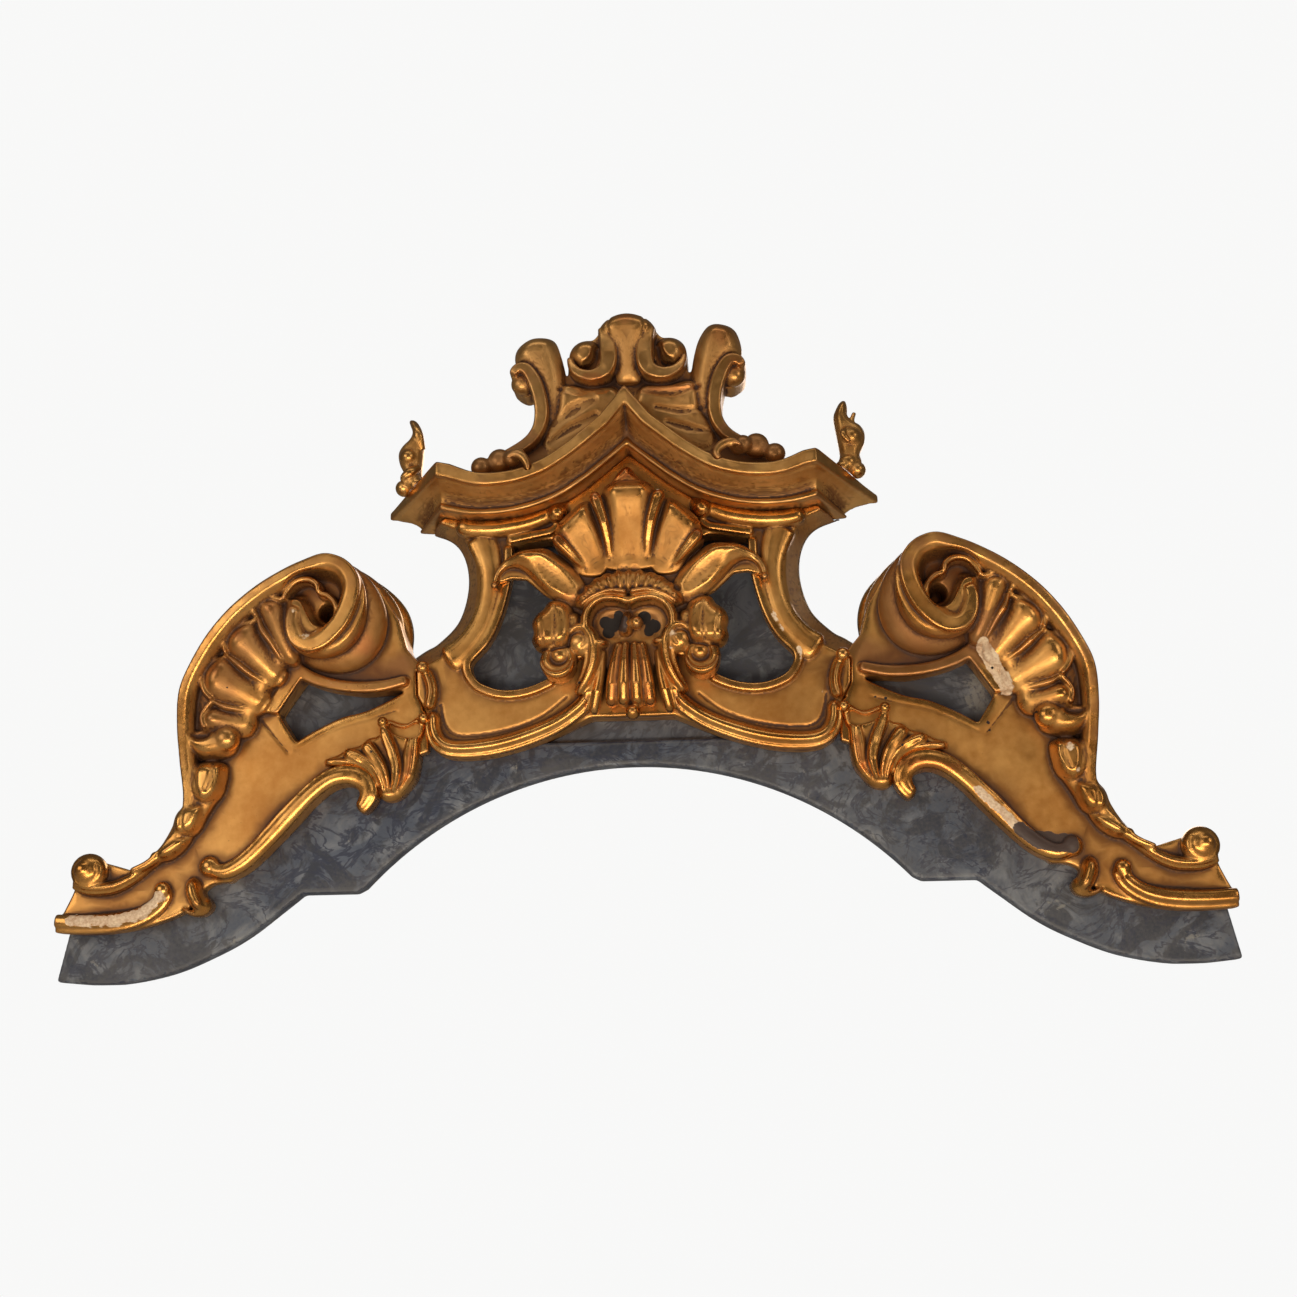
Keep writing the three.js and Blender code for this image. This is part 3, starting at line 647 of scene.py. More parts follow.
class Block:
    """A piece of wood as a grid of distances, in millimetres."""

    def __init__(self, low, high, voxel=1.5, band=4):
        self.voxel = voxel
        self.band = band
        self.limit = voxel * band
        # How often the front of a cushion is evened, to round its crest.
        self.evening = 8
        self.low = np.floor(np.array(low) / voxel).astype(int) - 3
        high = np.ceil(np.array(high) / voxel).astype(int) + 3
        self.field = np.full(high - self.low, self.limit, np.float32)

    def distances(self, shape):
        """The window of the block around a shape, and the distances to the shape in it."""
        points, faces = shape
        grid = openvdb.FloatGrid.createLevelSetFromPolygons(
            points.astype(np.float32),
            triangles=np.ascontiguousarray(faces, np.uint32),
            transform=openvdb.createLinearTransform(self.voxel),
            halfWidth=float(self.band),
        )
        first = np.floor(points.min(axis=0) / self.voxel).astype(int) - self.band - 1
        last = np.ceil(points.max(axis=0) / self.voxel).astype(int) + self.band + 2
        first = np.maximum(first, self.low)
        last = np.minimum(last, self.low + self.field.shape)
        if (last <= first).any():
            return None, None
        found = np.empty(last - first, np.float32)
        grid.copyToArray(found, ijk=tuple(int(v) for v in first))
        return tuple(slice(a, b) for a, b in zip(first - self.low, last - self.low)), found

    def add(self, shapes, blend=1.5):
        for shape in shapes:
            window, found = self.distances(shape)
            if window:
                here = self.field[window]
                near = np.maximum(blend - np.abs(here - found), 0) if blend else 0
                self.field[window] = np.minimum(here, found) - near * near / (4 * blend + 1e-9)
        return self

    def cut(self, shapes, blend=0.0):
        for shape in shapes:
            window, found = self.distances(shape)
            if window:
                here = self.field[window]
                near = np.maximum(blend - np.abs(here + found), 0) if blend else 0
                self.field[window] = np.maximum(here, -found) + near * near / (4 * blend + 1e-9)
        return self

    def clear_of(self, node, gap=0.5):
        """Cuts away what a packed neighbour fills, with a small gap to it."""
        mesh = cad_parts[node].data
        mesh.calc_loop_triangles()
        points = np.array([v.co for v in mesh.vertices]) / MM
        faces = np.array([t.vertices for t in mesh.loop_triangles])
        window, found = self.distances((points, faces))
        if window:
            self.field[window] = np.maximum(self.field[window], gap - found)
        return self

    def grid_xz(self, window):
        """The places [x, z] of the grid in a window of it."""
        x = (np.arange(self.field.shape[0]) + self.low[0])[window[0]] * self.voxel
        z = (np.arange(self.field.shape[2]) + self.low[2])[window[1]] * self.voxel
        return np.meshgrid(x, z, indexing="ij")

    def outline_window(self, outline, margin):
        """The window of the grid around an outline, with its distances from the outline.

        The distances are positive inside the outline and negative outside it.
        """
        outline = np.asarray(outline, float)
        first = np.floor((outline.min(axis=0) - margin) / self.voxel).astype(int) - self.low[[0, 2]]
        last = np.ceil((outline.max(axis=0) + margin) / self.voxel).astype(int) + 1 - self.low[[0, 2]]
        first = np.maximum(first, 0)
        last = np.minimum(last, np.array(self.field.shape)[[0, 2]])
        window = tuple(slice(a, b) for a, b in zip(first, np.maximum(last, first)))
        x, z = self.grid_xz(window)
        nearest = np.full(x.shape, 1e6)
        inside = np.zeros(x.shape, bool)
        for (x0, z0), (x1, z1) in zip(outline, np.roll(outline, -1, axis=0)):
            dx, dz = x1 - x0, z1 - z0
            part = np.clip(((x - x0) * dx + (z - z0) * dz) / max(dx * dx + dz * dz, 1e-9), 0, 1)
            nearest = np.minimum(nearest, np.hypot(x - x0 - part * dx, z - z0 - part * dz))
            crosses = (z0 > z) != (z1 > z)
            inside ^= crosses & (x < x0 + (z - z0) * dx / (dz if abs(dz) > 1e-9 else 1e-9))
        return window, x, z, np.where(inside, nearest, -nearest)

    def cushion(self, outline, edge, crest, width, power):
        """The front of a cushion over an outline, and the distances of its window to it.

        The front starts at the edge depth and reaches the crest at a width from the outline.
        The crest is one depth, or a pair of [x, z, depth] with an even slope between them.
        """
        window, x, z, away = self.outline_window(outline, self.limit)
        if np.ndim(crest):
            (x0, z0, d0), (x1, z1, d1) = crest
            run = (x1 - x0) ** 2 + (z1 - z0) ** 2
            crest = d0 + (d1 - d0) * np.clip(((x - x0) * (x1 - x0) + (z - z0) * (z1 - z0)) / run, 0, 1)
        share = np.clip(away / width, 0, 1)
        front = edge + (crest - edge) * (1 - (1 - share) ** 2) ** power
        for _ in range(self.evening):
            front = evened(front)
        steep = np.hypot(*np.gradient(front, self.voxel)) if min(front.shape) > 1 else 0
        depth = -(np.arange(self.field.shape[1]) + self.low[1])[None, :, None] * self.voxel
        gap = (depth - front[:, None, :]) / np.sqrt(1 + steep**2)[:, None, :]
        return (window[0], slice(None), window[1]), gap, away[:, None, :], depth

    def pillow(self, outline, edge, crest, width, root=ROOT, blend=1.5, power=0.5):
        """Adds a cushion-shaped form that rises from its outline to a rounded crest."""
        window, gap, away, depth = self.cushion(outline, edge, crest, width, power)
        found = np.maximum(np.maximum(gap, -away), root - depth)
        here = self.field[window]
        near = np.maximum(blend - np.abs(here - found), 0)
        self.field[window] = (np.minimum(here, found) - near * near / (4 * blend)).astype(np.float32)
        return self

    def scoop(self, outline, edge, floor, width, blend=1.5):
        """Hollows out a bowl inside an outline, from the edge depth down to a floor depth."""
        window, gap, away, _ = self.cushion(outline, edge, floor, width, 0.6)
        found = np.minimum(gap, away)
        here = self.field[window]
        near = np.maximum(blend - np.abs(here - found), 0)
        self.field[window] = (np.maximum(here, found) + near * near / (4 * blend)).astype(np.float32)
        return self

    def engrave(self, path, width, depth, behind=40.0):
        """Presses a round groove into whatever surface lies in front of a depth, along a path."""
        path = np.asarray(path, float)
        widest = float(np.max(width))
        first = np.floor((path.min(axis=0) - widest) / self.voxel).astype(int) - self.low[[0, 2]]
        last = np.ceil((path.max(axis=0) + widest) / self.voxel).astype(int) - self.low[[0, 2]]
        first = np.maximum(first, 0)
        last = np.minimum(last, np.array(self.field.shape)[[0, 2]])
        if (last <= first).any():
            return self
        window = tuple(slice(a, b) for a, b in zip(first, last))
        x, z = self.grid_xz(window)
        press = np.zeros(x.shape)
        sizes = at(width, np.linspace(0, 1, len(path)))
        deeps = at(depth, np.linspace(0, 1, len(path)))
        for (x0, z0), (x1, z1), size, deep in zip(path, path[1:], sizes, deeps):
            dx, dz = x1 - x0, z1 - z0
            part = np.clip(((x - x0) * dx + (z - z0) * dz) / max(dx * dx + dz * dz, 1e-9), 0, 1)
            away = np.hypot(x - x0 - part * dx, z - z0 - part * dz) / (size / 2)
            press = np.maximum(press, deep * np.clip(1 - away**2, 0, 1) ** 1.2)
        y = (np.arange(self.field.shape[1]) + self.low[1]) * self.voxel
        front = np.clip((-behind - y) / 6, 0, 1)[None, :, None]
        self.field[window[0], :, window[1]] += (press[:, None, :] * front).astype(np.float32)
        return self

    def soften(self, times=1):
        for _ in range(times):
            for axis in range(3):
                f = self.field
                ahead_of, behind_it = np.roll(f, -1, axis), np.roll(f, 1, axis)
                self.field = (f * 2 + ahead_of + behind_it) / 4
        return self

    def waver(self, size, depth, seed):
        """Makes the surface slightly uneven, as handwork is."""
        draw = np.random.default_rng(seed)
        axes = [(np.arange(n) + o) * self.voxel for n, o in zip(self.field.shape, self.low)]
        for _ in range(5):
            way = draw.normal(size=3)
            way *= 2 * math.pi / (np.linalg.norm(way) * size * draw.uniform(0.6, 1.6))
            start = draw.uniform(0, 2 * math.pi)
            phase = [np.exp(1j * w * a) for w, a in zip(way, axes)]
            wave = phase[0][:, None, None] * phase[1][None, :, None] * phase[2][None, None, :]
            self.field += (depth / 2.2 * np.real(wave * np.exp(1j * start))).astype(np.float32)
        return self

    def averaged(self, radius):
        """The distances averaged over a cube, which tells hollows from edges."""
        f = np.clip(self.field, -self.limit, self.limit)
        for axis in range(3):
            total = np.cumsum(f, axis=axis, dtype=np.float64)
            n = f.shape[axis]
            high = np.minimum(np.arange(n) + radius, n - 1)
            low = np.maximum(np.arange(n) - radius - 1, 0)
            sums = np.take(total, high, axis) - np.take(total, low, axis)
            f = (sums / (2 * radius + 1)).astype(np.float32)
        return f

    def sample(self, values, points):
        spots = np.rint(points / self.voxel).astype(int) - self.low
        spots = np.clip(spots, 0, np.array(values.shape) - 1)
        return values[spots[:, 0], spots[:, 1], spots[:, 2]]

    def skin(self):
        """The surface as points and outward quads, of the largest body alone."""
        grid = openvdb.FloatGrid(self.limit)
        grid.transform = openvdb.createLinearTransform(self.voxel)
        grid.gridClass = openvdb.GridClass.LEVEL_SET
        clipped = np.clip(self.field, -self.limit, self.limit)
        grid.copyFromArray(np.ascontiguousarray(clipped), ijk=tuple(int(v) for v in self.low))
        points, quads = grid.convertToQuads(0.0)
        quads = quads[:, ::-1].astype(np.int64)
        label = np.arange(len(points))
        while True:
            least = label[quads].min(axis=1)
            new = label.copy()
            np.minimum.at(new, quads.ravel(), np.repeat(least, 4))
            new = new[new]
            if (new == label).all():
                break
            label = new
        main = np.bincount(label).argmax()
        kept = label == main
        number = np.cumsum(kept) - 1
        return points[kept], number[quads[kept[quads[:, 0]]]]


# %% [markdown]
# A finished block becomes a Blender mesh. The Decimate modifier takes triangles out where the
# surface is flat, and then each vertex gets its "crease" and "shelter" values from the block.
# The places of damage are painted on as attributes too, from points and lines in millimetres.


# %% From block to piece
# The side to the wall never had gesso or gold, and shows bare wood.
BARE_BACK = 5
# Marks of damage are on the front alone, forward of this depth.
MARKED_FRONT = 12
CREASE_REACH = 3
SHELTER_REACH = 9
triangle_counts = {}


def mesh_of(name, points, faces):
    mesh = bpy.data.meshes.new(name)
    mesh.vertices.add(len(points))
    mesh.vertices.foreach_set("co", (points * MM).astype(np.float32).ravel())
    mesh.loops.add(faces.size)
    mesh.loops.foreach_set("vertex_index", faces.astype(np.int32).ravel())
    mesh.polygons.add(len(faces))
    mesh.polygons.foreach_set("loop_start", np.arange(len(faces), dtype=np.int32) * faces.shape[1])
    mesh.update(calc_edges=True)
    mesh.validate()
    return mesh


def thinned(piece, triangles):
    """Lowers the number of triangles with a Decimate modifier, applied."""
    have = sum(len(p.vertices) - 2 for p in piece.data.polygons)
    if have > triangles:
        modifier = piece.modifiers.new("thin", "DECIMATE")
        modifier.ratio = triangles / have
        modifier.use_collapse_triangulate = True
        graph = bpy.context.evaluated_depsgraph_get()
        mesh = bpy.data.meshes.new_from_object(piece.evaluated_get(graph))
        piece.modifiers.clear()
        piece.data = mesh
        mesh.name = piece.name


def vertex_array(piece):
    points = np.empty(len(piece.data.vertices) * 3, np.float32)
    piece.data.vertices.foreach_get("co", points)
    return points.reshape(-1, 3).astype(float) / MM


def paint(piece, name, values):
    attribute = piece.data.attributes.get(name) or piece.data.attributes.new(name, "FLOAT", "POINT")
    attribute.data.foreach_set("value", np.asarray(values, np.float32))


def spots(points, places):
    """1 at the middle of each [x, z, radius] place, falling to 0 at its radius."""
    strength = np.zeros(len(points))
    for x, z, radius in places:
        away = np.hypot(points[:, 0] - x, points[:, 2] - z) / radius
        strength = np.maximum(strength, np.clip(1.25 - away, 0, 1) * (points[:, 1] < -MARKED_FRONT))
    return strength


def strokes(points, paths, width):
    """1 along the middle of each path of [x, z] points, falling to 0 at the width."""
    places = [(x, z, width / 2) for path in paths for x, z in straight(path, 12)]
    return spots(points, places)


def finish_piece(name, block, material, triangles, damage=None, flip=False):
    """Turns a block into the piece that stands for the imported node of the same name."""
    points, quads = block.skin()
    piece = bpy.data.objects.new(name + "_carving", mesh_of(name, points, quads))
    bpy.context.scene.collection.objects.link(piece)
    thinned(piece, triangles)
    points = np.clip(vertex_array(piece), np.array(cad_low) / MM, np.array(cad_high) / MM)
    piece.data.vertices.foreach_set("co", (points * MM).astype(np.float32).ravel())
    paint(piece, "crease", block.sample(block.averaged(CREASE_REACH), points) / block.voxel)
    paint(piece, "shelter", block.sample(block.averaged(SHELTER_REACH), points) / (block.voxel * 2))
    if flip:
        piece.data.transform(Matrix.Diagonal((-1, 1, 1, 1)))
        piece.data.flip_normals()
        points = points * (-1, 1, 1)
    marks = damage(points) if damage else {}
    marks["bare"] = np.maximum(marks.get("bare", 0), points[:, 1] > -BARE_BACK)
    for mark, values in marks.items():
        paint(piece, mark, values)
    piece.data.polygons.foreach_set("use_smooth", np.ones(len(piece.data.polygons), bool))
    piece.data.materials.append(material)
    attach(piece, "root")
    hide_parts(name)
    triangle_counts[name] = sum(len(p.vertices) - 2 for p in piece.data.polygons)
    print(f"{name}: {triangle_counts[name]} triangles")


def block_for(node, front, voxel=1.5, margin=3.0):
    """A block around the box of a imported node, for carving that reaches a given depth."""
    low, high = (np.array(corner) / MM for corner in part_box(node))
    low[1] = min(low[1], -front)
    return Block(low - margin, high + margin, voxel)


# %% [markdown]
# The depths of the layers, forward of the wall, are shared by all the pieces: the sunk painted
# ground, the painted band, the flat gilt field, and what is raised on it.

# %% Depths and shared lines
GROUND = 14
BAND = 30
FIELD = 54
FILLET = 61
RAIL = 72

ARCH_RADIUS = 520
ARCH_TOP = -172
ARCH_HALF = 378
arch_sweep = math.degrees(math.asin(ARCH_HALF / ARCH_RADIUS))
print("the arch turns through", round(2 * arch_sweep), "degrees")
cornice_line = along([
    (266, 190), (228, 182), (186, 181), (145, 187), (101, 202), (60, 227), (25, 255), (0, 276),
], 60)

# %% [markdown]
# The painted board is sawn from planks: a thin ground all over, and a thicker band along its
# lower edge. Saw marks and bumps keep its edge from being perfectly crisp.

# %% Painted board
lower_edge = np.vstack([
    arc(0, ARCH_TOP - ARCH_RADIUS, ARCH_RADIUS, 90, 90 - arch_sweep, 60),
    [(390, -341)],
    along([
        (466, -341), (497, -365), (540, -397), (584, -421), (650, -447), (730, -460), (808, -455),
    ], 50),
])
behind_frame = [
    (790, -372), (700, -352), (630, -330), (590, -260), (556, -180), (540, -100), (500, -24),
    (400, -44), (330, -40), (288, -60), (252, -36), (228, 0), (204, 50), (200, 120), (196, 160), (0, 174),
]
band_top = [
    (790, -372), (700, -366), (630, -345), (560, -300), (490, -215), (430, -170), (380, -160),
    (300, -118), (200, -134), (120, -138), (0, -138),
]
board = block_for("painted_board", BAND, 2.2)
board.add([plate(both_halves(np.vstack([lower_edge, behind_frame])), 0, GROUND)], 0)
board.add([plate(both_halves(np.vstack([lower_edge, band_top])), 0, BAND)], 0)
board.soften(1)


def board_marks(points):
    return {
        # Where painted light lifts the sunk ground inside the windows.
        "sunk_painted_light": (points[:, 1] > -GROUND - 2) * (points[:, 1] < -4),
        "back": (points[:, 1] > -2.0) * 1.0,
    }


finish_piece("painted_board", board, marble, 40000, board_marks)

# %% [markdown]
# The middle frame carries the shell. Its waist leans outward towards the wall, two windows show
# the painted ground, and rolls sweep round the lower lobes to end in curls beside the shell.

# %% Middle frame
lobe_edge = along([
    (58, -108), (100, -127), (142, -144), (190, -156), (238, -161), (270, -152), (287, -128), (289, -96),
], 40)
waist_back = along([
    (318, -4), (300, 8), (283, 18), (254, 50), (241, 98), (246, 140), (266, 167), (308, 181),
], 40)
waist_front = along([
    (304, -36), (284, -24), (256, -8), (234, 20), (219, 70), (221, 120), (240, 164), (273, 182),
], 40)


def frame_half(waist):
    start, end = [(0, -108)], [(303, -70)]
    return both_halves(np.vstack([start, lobe_edge, end, waist, cornice_line]))


opening_curve = along([
    (173, 110), (178, 78), (190, 36), (206, 4), (231, -26), (222, -52), (200, -66), (172, -71),
    (140, -66), (112, -52), (70, -20),
], 50)
opening = np.vstack([[(50, 132), (113, 151), (172, 143)], opening_curve])

middle = block_for("middle_frame", 86)
waist_rings = [
    place_front(frame_half(waist_back) * (1 - t) + frame_half(waist_front) * t, FIELD * t)
    for t in np.linspace(0, 1, 10)
]
middle.add([loft(waist_rings, fans=False)], 0)
frieze = moulding(
    along([(248, 178), (226, 170), (186, 169), (146, 176), (112, 190), (88, 206)]),
    26, [70, 71, 71, 68, 62], 15, ROOT, dome(0.8),
)
waist_band = moulding(
    along([(262, -22), (236, -2), (212, 34), (200, 80), (202, 120), (214, 158)]),
    [44, 34, 30, 34, 46], 63, 10, ROOT, dome(0.9), (0.4, 0.2),
)
middle.add(on_both_sides([waist_band, frieze]), 1.5)
middle.cut(on_both_sides([plate(opening, 2, 90)]), 1.0)
print("middle frame cut from a board", FIELD, "mm thick")

# %% [markdown]
# Round mouldings edge the frame, each with a small fillet beside it, and each window has a flat
# fillet of its own. The rolls end in curls, which are bosses with a groove turned round them.

# %% Rolls and fillets of the middle frame
rail = moulding(
    along([
        (58, -8), (50, -30), (52, -56), (66, -88), (100, -114), (142, -132), (190, -145), (240, -149),
        (266, -142), (278, -122), (279, -94),
    ], 90),
    [20, 22, 25, 27, 27, 25, 20], [82, 78, 73, 72, 72, 72, 71], 16, 32, ROLL,
)
opening_fillet = moulding(
    along([
        (173, 145), (174, 110), (179, 78), (191, 36), (207, 4), (232, -26), (223, -54), (200, -68),
        (172, -73), (140, -68), (108, -54),
    ], 60),
    13, FILLET, 8, ROOT, FLAT,
)
top_fillet = moulding(straight([(176, 150), (112, 162), (99, 172)]), 12, FILLET + 2, 8, ROOT, FLAT)
inner_groove = along([(92, -78), (130, -106), (184, -124), (240, -129), (262, -114), (269, -84)])
closing_roll = moulding(
    along([(292, -34), (284, -50), (281, -70), (286, -92)]), 16, RAIL - 2, 12, ROOT, ROLL,
)
middle.add(on_both_sides([
    rail, opening_fillet, top_fillet, closing_roll,
    ball(72, -16, RAIL, 15, 12), ball(103, 187, FILLET, 15, 15), ball(293, -32, RAIL - 4, 10, 9),
]), 1.2)
for side in (1, -1):
    middle.engrave(arc(72 * side, -16, 9, 20 + 90 * (side < 0), 300 + 90 * (side < 0)), 4, 2.5, 60)
    middle.engrave(arc(103 * side, 187, 9, 0, 290), 3.5, 2, 55)
    middle.engrave(inner_groove * (side, 1), 5, 2.2, 45)
middle.clear_of("painted_board").clear_of("cornice")
middle.soften(2).waver(110, 0.3, 3)


def middle_marks(points):
    return {
        "gesso": strokes(points, [[(196, 36), (214, 2)], [(232, -20), (236, -34)]], 16) * 0.5
        + spots(points, [(280, -100, 30), (262, -74, 26)]) * 0.42,
        "bole": strokes(points, [[(100, 172), (112, 163)], [(52, -40), (66, -88)]], 26) * 0.3,
        "worm_and_shadow": spots(points, [(214, -104, 2.6), (250, -88, 2.2), (258, -96, 2.0), (-92, 182, 2.2)]),
    }


finish_piece("middle_frame", middle, gold, 140000, middle_marks)

# %% [markdown]
# Each wing is one large board with a volute built up at its shoulder. The barrel of the volute
# is a cone of twisted ribs, wide at the wall and narrow in front, like a snail's shell.

# %% Wing outline and volute
EYE = np.array([421, 44])
VOLUTE_DEPTH = 118
shoulder = [
    (700, -306), (674, -294), (650, -272), (630, -246), (623, -210), (629, -155), (632, -108),
    (628, -60), (611, -22), (586, 16), (556, 50), (518, 80), (480, 102), (440, 117),
]
wing_edge = np.vstack([
    along([
        (798, -386), (748, -389), (700, -388), (656, -378), (620, -362), (592, -330), (560, -325),
    ], 30),
    along([
        (534, -302), (502, -264), (475, -230), (450, -206), (420, -191), (392, -190), (372, -206),
    ], 40),
    [(340, -170), (286, -150), (286, -40), (318, -2), (330, 40), (360, 90)],
    along(shoulder, 90)[::-1],
    along([(752, -290), (776, -310), (782, -332), (797, -366)], 14),
])
side_window = np.vstack([
    [(466, -40), (500, -90)],
    along([(474, -131), (448, -115), (411, -98), (371, -88), (316, -62)], 30),
    along([(344, -61), (386, -63), (428, -53), (458, -40)], 24),
])


def volute_barrel(wall_reach, front_reach, front, ribs=3, rib_depth=0.19):
    """A cone round the eye whose ribs twist, with its reach given every 45 degrees."""
    turns = np.linspace(0, 1, 120, endpoint=False)
    eighths = np.linspace(0, 1, 9)
    shifts = np.linspace(-0.06, 0.06, 7)
    near = [
        np.mean([np.interp((turns + shift) % 1, eighths, reach) for shift in shifts], axis=0)
        for reach in (wall_reach, front_reach)
    ]
    rings = []
    for share in np.linspace(0, 1, 60):
        cone = near[0] + (near[1] - near[0]) * share**1.5
        ridge = np.abs(np.sin(math.pi * (share * ribs + turns))) ** 0.6
        radius = cone * (1 - rib_depth + rib_depth * ridge)
        angle = 2 * math.pi * turns
        across = EYE[0] + radius * np.cos(angle)
        upward = EYE[1] + radius * np.sin(angle)
        rings.append(np.stack([across, np.full(len(turns), -share * front), upward], axis=1))
    return loft(rings)


wing = block_for("right_wing", 126)
wing.add([plate(wing_edge, 0, FIELD, [side_window])], 0)
wing.add([volute_barrel(
    [70, 78, 84, 80, 104, 114, 93, 80, 70], [58, 66, 80, 68, 48, 46, 60, 66, 58], VOLUTE_DEPTH - 8,
)], 1.5)
print("volute built up to", VOLUTE_DEPTH - 8, "mm")

# %% [markdown]
# The rim is one flat ribbon. It climbs the shoulder, grows wider and deeper, goes over the top
# and winds in round the eye. Its inner edge is bevelled, and the face behind it is hollowed.

# %% Rim ribbon
BEVELLED = np.array([
    (-1, 0), (-0.99, 0.85), (-0.93, 1), (0.05, 1), (0.2, 0.97), (0.62, 0.72), (0.92, 0.45), (1, 0.2),
])
ribbon_outside = shoulder[:-1] + [
    (452, 114), (425, 122), (403, 117), (388, 106), (378, 90), (375, 74), (377, 56), (382, 38),
    (391, 20), (402, 5), (416, -8), (434, -16), (452, -15), (467, -5), (475, 12), (477, 30),
    (474, 45), (468, 57),
]
outer_line = along(ribbon_outside, 260)
ribbon_width = [10, 13, 16, 19, 20, 21, 22, 23, 24, 25, 25, 25, 25, 26, 28, 34, 37, 34, 28, 20]
ribbon_depth = [
    70, 72, 75, 78, 82, 88, 95, 103, 110, 116, 120, 122, 123, 123, 123, 123, 122, 121, 119, 116,
]
ribbon_rise = [10, 11, 12, 12, 14, 16, 18, 20, 22, 26, 28, 28, 28, 28, 28, 28, 26, 24, 22, 20]
middle_line = beside(outer_line, np.array(ribbon_width) / 2 - 1)
wing.add([moulding(middle_line, ribbon_width, ribbon_depth, ribbon_rise, ROOT, BEVELLED, (1, 1))], 1.5)
face = loop([(478, 84), (458, 98), (430, 102), (408, 94), (399, 76), (402, 54), (410, 34), (424, 20),
             (440, 24), (450, 40), (462, 60), (486, 62)])
wing.scoop(face, 122, 80, 8)
wing.scoop(arc(425, 47, 16, 0, 360, 40)[:-1], 110, 44, 5)
print("rim ribbon", round(length_of(middle_line)), "mm long")

# %% [markdown]
# Gadroons swell between the rim and the side window. A thin scalloped fillet rings their heads,
# and bright ridges divide them.

# %% Gadroons
wing.pillow(loop([
    (446, 72), (494, 76), (538, 54), (582, 10), (612, -40), (616, -100), (600, -124), (540, -122),
    (524, -90), (500, -52), (478, -22), (470, 20), (474, 50),
]), 62, [(520, 40, 96), (560, -110, 76)], 16, ROOT, 3)
gadroons = [
    ([(521, 43), (523, 55), (513, 65), (497, 66), (484, 57), (478, 38), (471, 10), (469, -14),
      (479, -21), (496, -5), (508, 16)], [(504, 52, 115), (478, -12, 99)], 22),
    ([(525, 35), (543, 32), (559, 21), (566, 4), (562, -13), (546, -26), (526, -40), (508, -51),
      (493, -46), (488, -30), (499, -11), (511, 10)], [(545, 12, 114), (502, -40, 91)], 28),
    ([(565, -12), (584, -18), (597, -33), (599, -50), (593, -67), (577, -78), (556, -84), (532, -90),
      (517, -82), (512, -66), (521, -52), (542, -34)], [(576, -44, 108), (525, -72, 85)], 28),
    ([(582, -82), (596, -90), (600, -104), (592, -116), (572, -120), (556, -122), (540, -119),
      (532, -105), (537, -93), (560, -88)], [(584, -100, 97), (545, -106, 80)], 20),
]
wing.evening = 20
for outline, crest, width in gadroons:
    shape = loop(outline)
    heart = shape.mean(axis=0)
    wing.pillow(heart + (shape - heart) * 1.12, crest[-1][2] - 18, crest, width, ROOT, 3, 0.5)
wing.evening = 8
dividers = [
    ([(519, 39), (514, 22), (502, 4), (487, -22)], [110, 108, 101, 92]),
    ([(564, -13), (550, -24), (532, -39), (508, -54)], [103, 100, 93, 83]),
    ([(583, -76), (570, -83), (550, -87), (527, -91)], [94, 90, 83, 76]),
]
for line, crest in dividers:
    wing.add([moulding(along(line, 30), [5, 10, 8, 5], crest, 12, 50, dome(0.9))], 1.0)
scallops = [
    ([(592, -120), (599, -98), (592, -83), (583, -75)], 92),
    ([(583, -75), (594, -64), (599, -49), (596, -32), (585, -20), (573, -17), (564, -13)], 98),
    ([(564, -13), (567, 5), (559, 21), (544, 30), (529, 33), (520, 39)], 105),
    ([(520, 39), (526, 49), (520, 60), (505, 66), (492, 64), (484, 61)], 111),
    ([(484, 61), (478, 74), (466, 87), (449, 90), (436, 82), (434, 69)], 112),
    ([(434, 69), (423, 67), (412, 57), (408, 44), (411, 34)], 110),
]
for line, crest in scallops:
    wing.add([moulding(along(line, 30), [7, 9, 8, 9, 7], crest, 9, 50, dome(0.9))], 1.5)
print(len(gadroons), "gadroons in", len(scallops), "scallops")

# %% [markdown]
# The side window has a bevelled bar on its outer side, a broad flat fillet above, and a thin one
# below. Under the gadroons the rim's leaf hooks back over a ball.

# %% Window frame and hook
wing.add([
    plate([(479, -22), (464, -40), (498, -92), (524, -88)], 34, 67),
    moulding(
        along([(476, -25), (452, -41), (420, -52), (385, -57), (350, -56), (314, -48)], 60),
        [17, 17, 16, 16, 14], 67, 10, ROOT, FLAT, (0.2, 1),
    ),
], 1.0)
wing.engrave(straight([(527, -95), (484, -146)]), 3.5, 2, 45)
wing.engrave(along([(474, -143), (446, -127), (411, -111), (371, -101), (330, -90)], 40), 3, 1.6, 45)
wing.engrave(straight([(483, -30), (522, -90)]), 4, 2.5, 55)
wing.pillow(loop([
    (552, -122), (566, -112), (584, -112), (604, -112), (622, -116), (627, -130), (616, -146),
    (597, -155), (574, -153), (557, -144),
]), 62, 90, 17, ROOT, 1.5, 0.55)
wing.add([ball(566, -128, 76, 19, 18)], 1.5)
wing.scoop(loop([(584, -116), (604, -114), (618, -120), (608, -130), (590, -128)]), 92, 74, 6)

# %% [markdown]
# Three husks, like half-open pods, hang down the shoulder below the hook, each over the next,
# with a small bead at the end. Each is a cushion with grooves in it, on one tapering rib.

